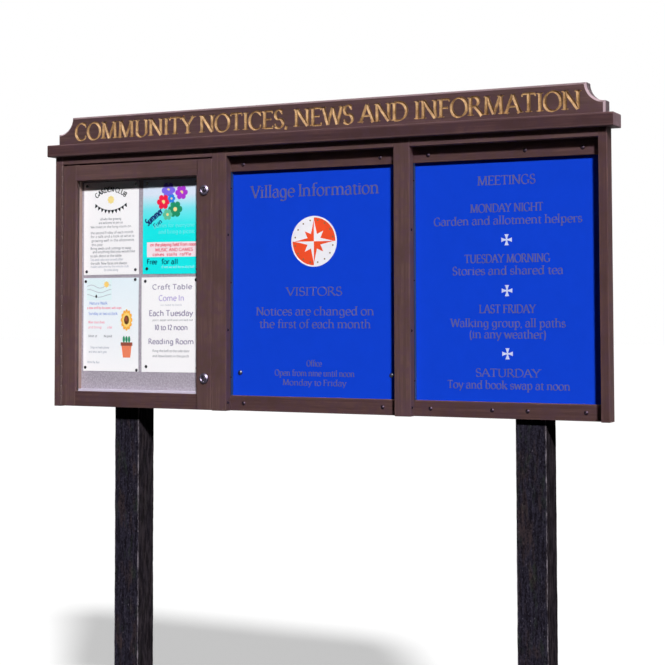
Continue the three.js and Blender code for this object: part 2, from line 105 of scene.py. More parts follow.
class Recipe:
    def __init__(self, owner):
        owner.use_nodes = True
        self.owner, self.tree = owner, owner.node_tree
        self.tree.nodes.clear()

    def node(self, kind, settings=None, sockets=None):
        made = self.tree.nodes.new(kind)
        for key, value in (settings or {}).items():
            setattr(made, key, value)
        for key, value in (sockets or {}).items():
            target = made.inputs[key]
            if isinstance(value, Wire):
                self.tree.links.new(value.socket, target)
            else:
                target.default_value = (*value, 1) if target.type == "RGBA" else value
        return made

    def wire(self, kind, settings=None, sockets=None, output=0):
        return Wire(self, self.node(kind, settings, sockets).outputs[output])

    # Noise between 0 and 1 whose grains are as many to the metre, each way, as stretch says
    def grain(self, stretch, detail=2.0, roughness=0.5, shift=(0, 0, 0)):
        place = self.wire("ShaderNodeTexCoord", output="Object")
        scaled = self.wire("ShaderNodeMapping", None, {"Vector": place, "Scale": stretch, "Location": shift})
        sockets = {"Vector": scaled, "Scale": 1.0, "Detail": detail, "Roughness": roughness}
        return self.wire("ShaderNodeTexNoise", None, sockets, "Fac")

    # 0 below low, 1 above high, and smooth between them
    def rise(self, value, low, high):
        sockets = {"Value": value, "From Min": low, "From Max": high}
        return self.wire("ShaderNodeMapRange", {"interpolation_type": "SMOOTHSTEP"}, sockets)

    def blend(self, first, second, amount):
        return self.wire("ShaderNodeMix", {"data_type": "RGBA"}, {0: amount, 6: first, 7: second}, 2)

    def attribute(self, name, output="Fac"):
        return self.wire("ShaderNodeAttribute", {"attribute_name": name}, output=output)

    # 1 on faces that look along an axis, either way, and 0 on those that look across it
    def facing(self, axis):
        normal = self.wire("ShaderNodeTexCoord", output="Normal")
        return abs(self.wire("ShaderNodeSeparateXYZ", None, {"Vector": normal}, axis.upper()))

    def bump(self, height, distance, strength=1.0):
        sockets = {"Height": height, "Distance": distance, "Strength": strength}
        return self.wire("ShaderNodeBump", None, sockets)

    def surface(self, colour, roughness, specular=None, **others):
        sockets = {"Base Color": colour, "Roughness": roughness}
        if specular is not None:
            sockets["Specular IOR Level"] = specular
        sockets.update({key.replace("_", " "): value for key, value in others.items()})
        shader = self.wire("ShaderNodeBsdfPrincipled", None, sockets)
        self.node("ShaderNodeOutputMaterial", None, {"Surface": shader})
        return self.owner


def newRecipe(name):
    return Recipe(bpy.data.materials.new(name))


# A colour as a screen shows it, 0 to 255, to the linear value that a shader takes
def screenColour(red, green, blue):
    share = np.array([red, green, blue]) / 255
    linear = np.where(share <= 0.04045, share / 12.92, ((share + 0.055) / 1.055) ** 2.4)
    return tuple(float(value) for value in linear)


def shaded(colour, share):
    return tuple(min(1.0, value * share) for value in colour)


# Finishes. Grains are counted to the metre; shares of a colour are against the mean one.
timberFinish = {
    "brown": (88, 66, 64),
    "brownDeep": (79, 57, 56),   # strips and the right stile came from a darker batch
    "canopy": (72, 51, 52),
    "header": (83, 62, 61),
    "tint": (80, 58, 66),        # mauve clouds in the brown
    "sawn": {"canopy": (126, 102, 108), "header": (112, 98, 102)},   # where a board is cut across
    # The header's bevel colour is a pale painted highlight, laid along its bevels
    "bevel": {"header": (186, 162, 170)},
    "darkerShare": 0.74, "palerShare": 1.34, "cloudShare": 0.86, "wornShare": 2.1, "sawnDarkShare": 0.8,
    "fineGrain": (14, 1100), "broadGrain": (2.2, 130), "cloudGrain": 9, "blotchGrain": 38,   # along, across
    "grainDepth": 0.12 * mm, "arrisGloss": 0.25, "glossRoughness": 0.35,
}


def timberMaterial(name, colour, along):
    spec = timberFinish
    base, tint = screenColour(*spec[colour]), screenColour(*spec["tint"])

    def stretched(pair):
        return tuple(pair[0] if axis == along else pair[1] for axis in "xyz")

    recipe = newRecipe(name)
    fine = recipe.grain(stretched(spec["fineGrain"]), 3.0, 0.6)
    broad = recipe.grain(stretched(spec["broadGrain"]), 2.0, 0.5, (3.1, 7.7, 1.3))
    cloud = recipe.grain((spec["cloudGrain"],) * 3)
    blotch = recipe.grain((spec["blotchGrain"],) * 3, 3.0, 0.6, (5.3, 2.9, 8.1))
    arris = recipe.attribute("arris")
    streak = recipe.rise(fine * 0.55 + broad * 0.45, 0.33, 0.67)
    worn = arris * recipe.rise(fine, 0.35, 0.65) * 0.55
    mixed = recipe.blend(shaded(base, spec["darkerShare"]), shaded(base, spec["palerShare"]), streak)
    mixed = recipe.blend(mixed, shaded(base, spec["cloudShare"]), recipe.rise(cloud, 0.45, 0.7))
    mixed = recipe.blend(mixed, shaded(tint, sum(base) / sum(tint)), recipe.rise(blotch, 0.42, 0.66) * 0.7)
    mixed = recipe.blend(mixed, shaded(base, spec["wornShare"]), worn)
    if colour in spec["sawn"]:
        aside = recipe.facing(along)
        sawn = screenColour(*spec["sawn"][colour])
        pale = recipe.blend(shaded(sawn, spec["sawnDarkShare"]), sawn, blotch)
        mixed = recipe.blend(mixed, pale, recipe.rise(aside, 0.5, 0.9))
    # Painted highlight on the header's bevels, weighted by how far each bevel faces sideways
    if colour in spec["bevel"]:
        sideBevelHighlight = 0.34 + recipe.rise(aside, 0.05, 0.3) * 0.66      # painted highlight: strongest on the bevels that face sideways, at the scallops and ends, and a third as strong on the long top bevel
        bevel = screenColour(*spec["bevel"][colour])
        mixed = recipe.blend(mixed, bevel, arris * (0.6 + blotch * 0.5) * sideBevelHighlight)
    return recipe.surface(mixed, 0.5 + streak * 0.14, 0.03, Coat_Weight=arris * spec["arrisGloss"],
                          Coat_Roughness=spec["glossRoughness"], Normal=recipe.bump(fine, spec["grainDepth"]))


postFinish = {
    "black": (20, 17, 23), "violet": (50, 47, 60), "brown": (60, 48, 46), "green": (40, 48, 38),
    "side": (62, 55, 60),        # the sides weather paler than the fronts
    # worn is the pale of rubbed arrises, and it also paints the highlight along them
    "chip": (120, 112, 122), "worn": (132, 124, 132),
}


def postMaterial():
    tones = {name: screenColour(*tone) for name, tone in postFinish.items()}
    recipe = newRecipe("blackPlasticTimber")
    speck = recipe.grain((240, 240, 130), 3.0, 0.75)
    streak = recipe.grain((130, 130, 12), 3.0, 0.65)
    patch = recipe.grain((34, 34, 10), 3.0, 0.6, (2.2, 6.1, 4.7))
    other = recipe.grain((40, 40, 14), 3.0, 0.6, (7.4, 1.8, 3.3))
    stripe = recipe.grain((80, 80, 15), 3.0, 0.65, (1.9, 5.5, 8.8))
    rubAndHighlight = recipe.grain((90, 90, 22), 4.0, 0.75)
    tone = recipe.rise(speck * 0.55 + streak * 0.45, 0.38, 0.66)
    tinted = tone * 0.8 + 0.1
    side = recipe.blend(shaded(tones["side"], 0.3), tones["side"], recipe.rise(stripe, 0.4, 0.62))
    weathered = recipe.rise(recipe.facing("x"), 0.5, 0.9) * (0.5 + patch * 0.5)
    # Rubbed wear along the arrises, which also serves as a painted highlight there
    worn = recipe.attribute("arris") * recipe.rise(rubAndHighlight, 0.4, 0.64) * 0.8
    mixed = recipe.blend(tones["black"], tones["violet"], tone)
    for layer, amount in (
        (tones["brown"], recipe.rise(patch, 0.5, 0.68) * tinted),
        (tones["green"], recipe.rise(other, 0.52, 0.7) * tinted),
        (side, weathered), (tones["chip"], recipe.rise(speck, 0.64, 0.74) * 0.5), (tones["worn"], worn),
    ):
        mixed = recipe.blend(mixed, layer, amount)
    rough = recipe.bump(speck * 0.6 + streak * 0.4, 0.5 * mm, 0.8)
    return recipe.surface(mixed, 0.62 + speck * 0.25, 0.0, Normal=rough)


# A smooth painted, moulded or plated finish, with slight clouds and fine marks
def smoothMaterial(name, colour, roughness, cloudShare=0.12, specular=0.2, metallic=0.0, bumpDepth=0.02 * mm):
    recipe = newRecipe(name)
    base = screenColour(*colour)
    cloud = recipe.grain((22, 22, 22), 3.0)
    fine = recipe.grain((700, 700, 700))
    mixed = recipe.blend(shaded(base, 1 - cloudShare), shaded(base, 1 + cloudShare), cloud)
    return recipe.surface(mixed, roughness + (fine - 0.5) * 0.06, specular, Metallic=metallic,
                          Normal=recipe.bump(fine, bumpDepth))


def brushedMaterial(name, colour, roughness, stretch):
    recipe = newRecipe(name)
    base = screenColour(*colour)
    line = recipe.grain(stretch, 3.0, 0.6)
    stain = recipe.grain((30, 30, 30), 3.0, 0.6)
    mixed = recipe.blend(shaded(base, 0.72), shaded(base, 1.08), line * 0.5 + stain * 0.5)
    return recipe.surface(mixed, roughness + line * 0.16, Metallic=0.9, Normal=recipe.bump(line, 0.03 * mm))


def feltMaterial(colour):
    recipe = newRecipe("pinboardFelt")
    base = screenColour(*colour)
    fibre = recipe.grain((900, 900, 900), 4.0, 0.75)
    tuft = recipe.rise(recipe.grain((170, 170, 170), 3.0, 0.6), 0.3, 0.7)
    patch = recipe.grain((16, 16, 16))
    mixed = recipe.blend(shaded(base, 0.7), shaded(base, 1.22), tuft * 0.6 + fibre * 0.2 + patch * 0.2)
    return recipe.surface(mixed, 0.95, 0.04, Normal=recipe.bump(fibre, 0.5 * mm))


# Paper and print take their colour from the mesh, where it was set point by point
def printMaterial(name, roughness):
    recipe = newRecipe(name)
    fibre = recipe.grain((1500, 1500, 1500), 3.0, 0.7)
    mixed = recipe.blend(recipe.attribute("ink", "Color"), (0.0, 0.0, 0.0), (1 - fibre) * 0.04)
    return recipe.surface(mixed, roughness, 0.05, Normal=recipe.bump(fibre, 0.03 * mm))


# A pane that only reflects: clear where it is looked through, brighter at a glancing view
def paneMaterial():
    recipe = newRecipe("clearGlazing")
    glance = recipe.wire("ShaderNodeLayerWeight", None, {"Blend": 0.5}, "Facing") ** 5
    dust = recipe.rise(recipe.grain((60, 60, 60), 4.0, 0.7), 0.45, 0.8)
    return recipe.surface((0.93, 0.97, 0.97), 0.03, Metallic=1.0, Alpha=glance * 0.2 + dust * 0.003 + 0.002)


def goldMaterial(dark, bright):
    recipe = newRecipe("goldLeaf")
    leaf = recipe.grain((300, 300, 300), 3.0, 0.6)
    patch = recipe.grain((45, 45, 45))
    rubbed = recipe.rise(leaf * 0.4 + patch * 0.6, 0.3, 0.7)
    mixed = recipe.blend(screenColour(*dark), screenColour(*bright), rubbed)
    return recipe.surface(mixed, 0.4 + leaf * 0.14, 0.1, Normal=recipe.bump(leaf, 0.06 * mm))


# The finishes of each material slot, and of the CAD nodes that keep their own shape and slot
slotFinishes = {
    "brown_timber": {
        "brownUpright": timberMaterial("brownTimberUpright", "brown", "z"),
        "brownAcross": timberMaterial("brownTimberAcross", "brown", "x"),
        "deepUpright": timberMaterial("deepTimberUpright", "brownDeep", "z"),
        "deepAcross": timberMaterial("deepTimberAcross", "brownDeep", "x"),
    },
    "canopy_timber": {
        "canopyAcross": timberMaterial("canopyTimber", "canopy", "x"),
        "headerAcross": timberMaterial("headerTimber", "header", "x"),
        "gold": goldMaterial((108, 76, 44), (186, 149, 106)),
    },
    "black_timber": {"post": postMaterial()},
    "blue_sign": {
        "blue": smoothMaterial("blueSignFace", (16, 64, 206), 0.4, 0.05, 0.05),
        "letter": smoothMaterial("dullSignLettering", (88, 90, 146), 0.5, 0.18, 0.08),
        "white": smoothMaterial("whiteSignVinyl", (240, 238, 248), 0.45),
        "cross": smoothMaterial("paleBlueSignVinyl", (204, 210, 242), 0.45),
        "red": smoothMaterial("redSignVinyl", (236, 78, 40), 0.45),
        "bronze": smoothMaterial("bronzeSignVinyl", (128, 106, 76), 0.45),
    },
    "pale_lining": {
        "lining": smoothMaterial("paleLining", (160, 134, 127), 0.6, 0.2, 0.08),
        "ledge": smoothMaterial("lilacLedge", (192, 183, 202), 0.6, 0.06),
    },
    "notice_paper": {"paper": printMaterial("noticePaper", 0.8), "ink": printMaterial("noticeInk", 0.6)},
    "seal_rubber": {"seal": smoothMaterial("foamSeal", (34, 34, 36), 0.9, bumpDepth=0.2 * mm)},
    "lock_chrome": {
        "chrome": smoothMaterial("polishedChrome", (64, 58, 69), 0.36, 0.05, 0.2, 1.0, 0.004 * mm),
    },
    "zinc_steel": {"zinc": brushedMaterial("zincSteel", (166, 166, 170), 0.3, (60, 60, 900))},
    "mill_aluminium": {
        "aluminium": brushedMaterial("millAluminium", (186, 183, 181), 0.34, (12, 900, 900)),
        # The retainer is darkened below its aluminium as painted shade, so that the band above the notices
        # stays dark
        "retainer": brushedMaterial("shadeDarkRetainer", (62, 58, 58), 0.5, (12, 900, 900)),
        "hinge": smoothMaterial("brownHinge", (90, 72, 71), 0.5, specular=0.05),
    },
    "dark_cap": {
        "bead": smoothMaterial("glazingBead", (50, 72, 104), 0.5, specular=0.05),
        "dome": smoothMaterial("blackGlossCap", (14, 20, 52), 0.25, specular=0.4),
        "screw": smoothMaterial("blackedScrew", (27, 20, 27), 0.36, metallic=0.95),
        "pin": smoothMaterial("drawingPin", (24, 22, 30), 0.3),
    },
    "kept": {
        "back": smoothMaterial("greyBackSheet", (88, 89, 93), 0.6, 0.16),
        "felt": feltMaterial((169, 161, 173)),
        "pane": paneMaterial(),
    },
}
finishes = {name: material for group in slotFinishes.values() for name, material in group.items()}
slots = {name: slot for slot, group in slotFinishes.items() for name in group}
print("finishes made:", len(finishes))


# Mesh making. A solid is its points and blocks of faces, each block with as many corners to a face.
def gridQuads(rows, columns, wrapRows=False, wrapColumns=False):
    counts = (rows if wrapRows else rows - 1, columns if wrapColumns else columns - 1)
    row, column = np.indices(counts)
    nextRow, nextColumn = (row + 1) % rows, (column + 1) % columns
    corners = [row * columns + column, row * columns + nextColumn,
               nextRow * columns + nextColumn, nextRow * columns + column]
    return np.stack(corners, -1).reshape(-1, 4)


# Closed outlines, ring after ring, joined by quads, with one face at each end
def lofted(rings):
    count, steps = rings.shape[:2]
    last = (count - 1) * steps
    ends = [np.arange(steps)[::-1][None], (last + np.arange(steps))[None]]
    return rings.reshape(-1, 3), [gridQuads(count, steps, wrapColumns=True), *ends]


# The same, closed on itself: the last ring joins the first
def looped(rings):
    return rings.reshape(-1, 3), [gridQuads(*rings.shape[:2], wrapRows=True, wrapColumns=True)]


# A grid of points given a thickness: the same grid moved by a step, and a rim of quads round both
def thickened(grid, step):
    rows, columns = grid.shape[:2]
    count = rows * columns
    front = grid.reshape(-1, 3)
    quads = gridQuads(rows, columns)
    index = np.arange(count).reshape(rows, columns)
    rim = np.concatenate([index[0, :-1], index[:-1, -1], index[-1, :0:-1], index[:0:-1, 0]])
    ahead = np.roll(rim, -1)
    sides = np.stack([ahead, rim, rim + count, ahead + count], -1)
    return np.concatenate([front, front + np.asarray(step)]), [quads, quads[:, ::-1] + count, sides]


# Several solids as one
def joined(solids):
    points, blocks, start = [], [], 0
    for solidPoints, solidBlocks in solids:
        points.append(solidPoints)
        blocks += [block + start for block in solidBlocks]
        start += len(solidPoints)
    return np.concatenate(points), blocks


# A plain box between two corners
def boxSolid(low, high):
    corners = low[:2] + np.array([(0, 0), (1, 0), (1, 1), (0, 1)]) * (high - low)[:2]
    return lofted(np.stack([np.column_stack([corners, np.full(4, level)]) for level in (low[2], high[2])]))


# Points of the unit circle at one or more turns, and all round it
def spoke(turn):
    return np.stack([np.cos(turn), np.sin(turn)], -1)


def circleOf(steps):
    return spoke(np.linspace(0, 2 * np.pi, steps, endpoint=False))


# Rings about a centre from flat outlines, each with its distance behind the centre
def layeredRings(layers, centre):
    return np.stack([
        np.stack([centre[0] + flat[:, 0], centre[1] + depth * np.ones(len(flat)), centre[2] + flat[:, 1]], -1)
        for flat, depth in layers
    ])


def makeMesh(name, solid, finishNames, values=None, inks=None):
    points, blocks = solid
    mesh = bpy.data.meshes.new(name)
    mesh.from_pydata(points.tolist(), [], [face for block in blocks for face in block.tolist()])
    for finish in finishNames:
        mesh.materials.append(finishes[finish])
    if values is not None:
        mesh.attributes.new("arris", "FLOAT", "POINT").data.foreach_set("value", values)
    if inks is not None:
        mesh.attributes.new("ink", "FLOAT_COLOR", "POINT").data.foreach_set("color", inks.ravel())
    work = bmesh.new()
    work.from_mesh(mesh)
    bmesh.ops.recalc_face_normals(work, faces=work.faces)
    work.to_mesh(mesh)
    work.free()
    return mesh


# A finished piece: the body that it rides on, and the CAD nodes that it stands in for
def addMesh(name, mesh, slot, nodes=(), body="board", sharp=35):
    mesh.shade_smooth()
    mesh.set_sharp_from_angle(angle=math.radians(sharp))
    piece = bpy.data.objects.new(name, mesh)
    scene.collection.objects.link(piece)
    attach(piece, body)
    if nodes:
        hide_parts(*nodes)


def addSolid(name, solid, finish, nodes=(), values=None, inks=None, slot=None, **rest):
    addMesh(name, makeMesh(name, solid, [finish], values, inks), slot or slots[finish], nodes, **rest)


# A mesh with the cutting solids taken away; the cut faces get the cutters' finish where they have one
def cutFrom(mesh, cutters, finishNames=()):
    base = bpy.data.objects.new("beingCut", mesh)
    tool = bpy.data.objects.new("cutting", makeMesh("cutting", cutters, finishNames))
    scene.collection.objects.link(base)
    scene.collection.objects.link(tool)
    cut = base.modifiers.new("cut", "BOOLEAN")
    cut.object, cut.operation, cut.solver, cut.use_self = tool, "DIFFERENCE", "EXACT", True
    cut.material_mode = "TRANSFER" if finishNames else "INDEX"
    result = bpy.data.meshes.new_from_object(base.evaluated_get(bpy.context.evaluated_depsgraph_get()))
    bpy.data.objects.remove(base)
    bpy.data.objects.remove(tool)
    return result


# Pieces whose box the photograph shows a little larger or smaller than their solid's: the corner, 0 for the
# low one and 1 for the high one, the axis and the millimetres that it moves
shifts = {
    "left_stile": (0, 0, -3.5), "door_lock_stile": (0, 0, -3.5), "canopy_rail": (0, 1, -3.2),
    "door_seal": (0, 2, -5.5), "door_bottom_rail": (1, 2, -2), "lining_ledge": (1, 2, -1.5),
}


def spanOf(node):
    span = np.array(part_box(node))
    if node in shifts:
        corner, axis, distance = shifts[node]
        span[corner, axis] += distance * mm
    return span


def middleOf(node):
    return spanOf(node).mean(axis=0)


# Outline of a rectangle about the origin with quarter-round corners, and 1 along each arris, 0 beside it
def roundedOutline(width, depth, radius, steps, rim):
    points, values = [], []
    for corner, signs in enumerate([(1, 1), (-1, 1), (-1, -1), (1, -1)]):
        turn = np.radians(90 * corner + np.linspace(0, 90, steps + 1))
        arc = signs * (np.array([width, depth]) / 2 - radius) + radius * spoke(turn)
        ahead = spoke(turn + np.pi / 2)
        points += [arc[:1] - rim * ahead[:1], arc, arc[-1:] + rim * ahead[-1:]]
        values += [np.zeros(1), np.ones(steps + 1), np.zeros(1)]
    return np.concatenate(points), np.concatenate(values)


# How far in and how far along an end that is rounded by a quarter circle lies, step by step
def endRounding(radius, steps):
    bend = np.radians(np.linspace(0, 90, steps + 1))
    return radius * (1 - np.sin(bend)), radius * (1 - np.cos(bend))


# Straight bars: radius of the arrises, rounding of the ends and width of the rim beside an arris, in
# millimetres, and the steps of a quarter circle
barShapes = {
    "timber": (1.5, 1.0, 2.5, 4), "canopy": (3.5, 2.5, 4, 6), "door": (1.2, 0.5, 2.5, 4),
    "lining": (0.9, 0.4, 1.5, 3), "sheet": (0.8, 0.3, 1, 2), "bead": (0.8, 0.3, 1, 3),
    "rail": (0.8, 0.5, 1.5, 3),
}


# A bar that fills a box: a rounded rectangle carried along one axis, drawn in by a quarter circle at each end
def barSolid(low, high, along, shape):
    *lengths, steps = barShapes[shape]
    radius, endRound, rim = np.array(lengths) * mm
    axis = "xyz".index(along)
    across = [index for index in range(3) if index != axis]
    drawnIn, fromEnd = endRounding(endRound, steps)
    nearEnd = endRound + rim     # a ring there keeps the long faces flat in the light
    insets = np.concatenate([drawnIn, [0, 0], drawnIn[::-1]])
    places = np.concatenate([low[axis] + fromEnd, [low[axis] + nearEnd, high[axis] - nearEnd],
                             high[axis] - fromEnd[::-1]])
    rings = []
    for inset, place in zip(insets, places):
        outline, values = roundedOutline(*(high - low)[across] - 2 * inset, radius - inset, steps, rim)
        ring = np.empty((len(outline), 3))
        ring[:, across] = (low + high)[across] / 2 + outline
        ring[:, axis] = place
        rings.append(ring)
    return lofted(np.stack(rings)), np.tile(values, len(insets))


# Bars by direction, finish and shape: each node and how far its arrises are rubbed
bars = [
    ("z", "brownUpright", "timber", {"left_stile": 1.0, "display_mullion": 0.2, "right_mullion": 0.3}),
    ("z", "deepUpright", "timber", {"right_stile": 0.5}),
    ("x", "brownAcross", "timber", {"display_top_rail": 0.5, "middle_top_rail": 0.5, "right_top_rail": 0.5,
                                    "display_bottom_rail": 0.3}),
    ("x", "deepAcross", "timber", {"middle_top_strip": 0.5, "middle_bottom_strip": 0.7,
                                   "right_top_strip": 0.5, "right_bottom_strip": 0.7}),
    ("x", "canopyAcross", "canopy", {"canopy_rail": 1.0}),
    ("z", "lining", "lining", {"hinge_side_lining": 1.0, "lock_side_landing": 1.0}),
    # The lining head takes the dark timber, not the pale lining: painted shade over the top of the notices
    ("x", "deepAcross", "lining", {"lining_head": 1.0}),
    ("x", "ledge", "lining", {"lining_ledge": 1.0}),
    ("x", "blue", "sheet", {"middle_sign_panel": 1.0, "right_sign_panel": 1.0}),
    ("x", "aluminium", "rail", {"upper_hanging_rail": 1.0, "lower_hanging_rail": 1.0}),
]
pieceNames = {"canopy_rail": "canopy_bar", "middle_sign_panel": "middle_sign_sheet",
              "right_sign_panel": "right_sign_sheet"}


def addBars():
    for along, finish, shape, nodes in bars:
        isLining = shape == "lining"
        for node, wear in nodes.items():
            solid, values = barSolid(*spanOf(node), along, shape)
            name = pieceNames.get(node, node + ("_strip" if isLining else "_bar"))
            addSolid(name, solid, finish, [node], values * wear, slot="pale_lining" if isLining else None)


addBars()
print("bars made")


# Round pieces: a profile of (radius, distance along the axis) turned round an axis through a point
def turnedRings(profile, centre, axis, segments):
    turn = np.linspace(0, 2 * np.pi, segments, endpoint=False)[:, None]
    profile, axis = np.asarray(profile, float), np.asarray(axis, float)
    first = np.cross(axis, (0, 0, 1)) if abs(axis[2]) < 0.5 else np.array([1.0, 0, 0])
    spokes = np.cos(turn) * first + np.sin(turn) * np.cross(axis, first)
    return np.asarray(centre) + profile[:, :1, None] * spokes + profile[:, 1:, None] * axis


def turnedSolid(profile, centre, axis, segments):
    return lofted(turnedRings(profile, centre, axis, segments))


# Quarter ellipse from the rim of a dome to near its top
def domeProfile(radius, height, steps, foot=0.0):
    bend = np.radians(np.linspace(0, 88, steps + 1))
    return spoke(bend) * [radius, height] + [0, foot]


# Screw heads: shares of the radius for the cross recess, and of the height for its depth
screwShape = {"rings": 12, "steps": 64, "middle": 0.04, "power": 1.8, "foot": 0.5 * mm,
              "slot": 0.12, "slotLength": 0.5, "slotEnd": 0.2, "recess": 0.35}


# A dome, 1 less a power of the distance out, with a cross sunk in it; a ring below the rim goes into the wood
def screwSolid(centre, normal, radius, height):
    spec = screwShape
    reach = np.linspace(spec["middle"], 1, spec["rings"])[::-1, None, None]
    flat = reach * circleOf(spec["steps"])
    arm, far = np.abs(flat).min(-1), np.abs(flat).max(-1)
    cross = np.clip((spec["slot"] - arm) / (spec["slot"] / 2), 0, 1)
    cross *= np.clip((spec["slotLength"] - far) / spec["slotEnd"], 0, 1)
    heights = 1 - reach[..., 0] ** spec["power"] - spec["recess"] * cross
    normal, upward = np.asarray(normal, float), np.array([0, 0, 1.0])
    axes = np.stack([np.cross(normal, upward), upward])
    points = np.asarray(centre) + radius * flat @ axes + height * heights[..., None] * normal
    return lofted(np.concatenate([points[:1] - spec["foot"] * normal, points]))


# Posts: rounded squares carried up Z, with slow dents and rough arrises. Waves are given as their count,
# the longest and the shortest in metres.
postShape = {
    "radius": 2.4 * mm, "steps": 5, "rim": 1.6 * mm, "rings": 150, "faceColumns": 7, "endRound": 3 * mm,
    "dent": 0.7 * mm, "roughness": 0.35 * mm, "dentWaves": (10, 0.5, 0.08), "roughWaves": (16, 0.05, 0.012),
    "sinkFrom": 1.2, "faceRoughness": 0.35, "arrisRoughness": 1.5, "squareness": 6, "seed": 7,
}


# Sum of sine waves with seeded lengths, turns and offsets
def waves(place, count, longest, shortest, random):
    total = np.zeros(place.shape[:-1])
    for _ in range(count):
        length = np.exp(random.uniform(np.log(shortest), np.log(longest)))
        direction = random.normal(size=3)
        direction /= np.linalg.norm(direction)
        total += np.sin(place @ direction * 2 * np.pi / length + random.uniform(0, 2 * np.pi))
    return total / math.sqrt(count)


# The long faces get more columns than the outline has, so that they can dent
def postOutline(size, shape):
    outline, values = roundedOutline(*size, shape["radius"], shape["steps"], shape["rim"])
    flat = (values == 0) & (np.roll(values, -1) == 0)
    counts = np.where(flat, shape["faceColumns"], 1)
    corner = np.repeat(np.arange(len(outline)), counts)
    step = np.arange(len(corner)) - (np.cumsum(counts) - counts)[corner]
    ahead = np.roll(outline, -1, axis=0) - outline
    return outline[corner] + ahead[corner] * (step / counts[corner])[:, None], values[corner]


# The outline carried up Z and drawn in by a quarter circle at each end. Both waves, less the level that
# sinking starts from, move the points inwards and never outwards: the slow ones on the faces, the fine ones
# most along the arrises. A high power of the place in the outline turns each move square to its face.
def postSolid(low, high, shape, random):
    size = (high - low)[:2]
    outline, values = postOutline(size, shape)
    drawnIn, fromEnd = endRounding(shape["endRound"], shape["steps"])
    inset = np.concatenate([drawnIn, np.zeros(shape["rings"]), drawnIn[::-1]])
    level = np.concatenate([low[2] + fromEnd, np.linspace(low[2], high[2], shape["rings"] + 2)[1:-1],
                            high[2] - fromEnd[::-1]])
    rings = np.empty((len(level), len(outline), 3))
    rings[..., :2] = (low + high)[:2] / 2 + outline * (1 - 2 * inset[:, None, None] / size)
    rings[..., 2] = level[:, None]
    away = outline / np.abs(outline).max(0)
    away = away * np.abs(away) ** shape["squareness"]
    away /= np.linalg.norm(away, axis=1, keepdims=True)
    dent = waves(rings, *shape["dentWaves"], random) - shape["sinkFrom"]
    rough = waves(rings, *shape["roughWaves"], random)
    rough = rough * (shape["faceRoughness"] + shape["arrisRoughness"] * values) - shape["sinkFrom"]
    reach = (shape["dent"] * np.minimum(dent, 0) + shape["roughness"] * rough) / 2
    rings[..., :2] += away * np.minimum(reach, 0)[..., None]
    return lofted(rings), np.tile(values, len(level))


def addPosts():
    random = np.random.default_rng(postShape["seed"])
    for node in ("left_post", "right_post"):
        solid, values = postSolid(*spanOf(node), postShape, random)
        addSolid(node + "_timber", solid, "post", [node], values, sharp=50)


addPosts()
print("posts made")


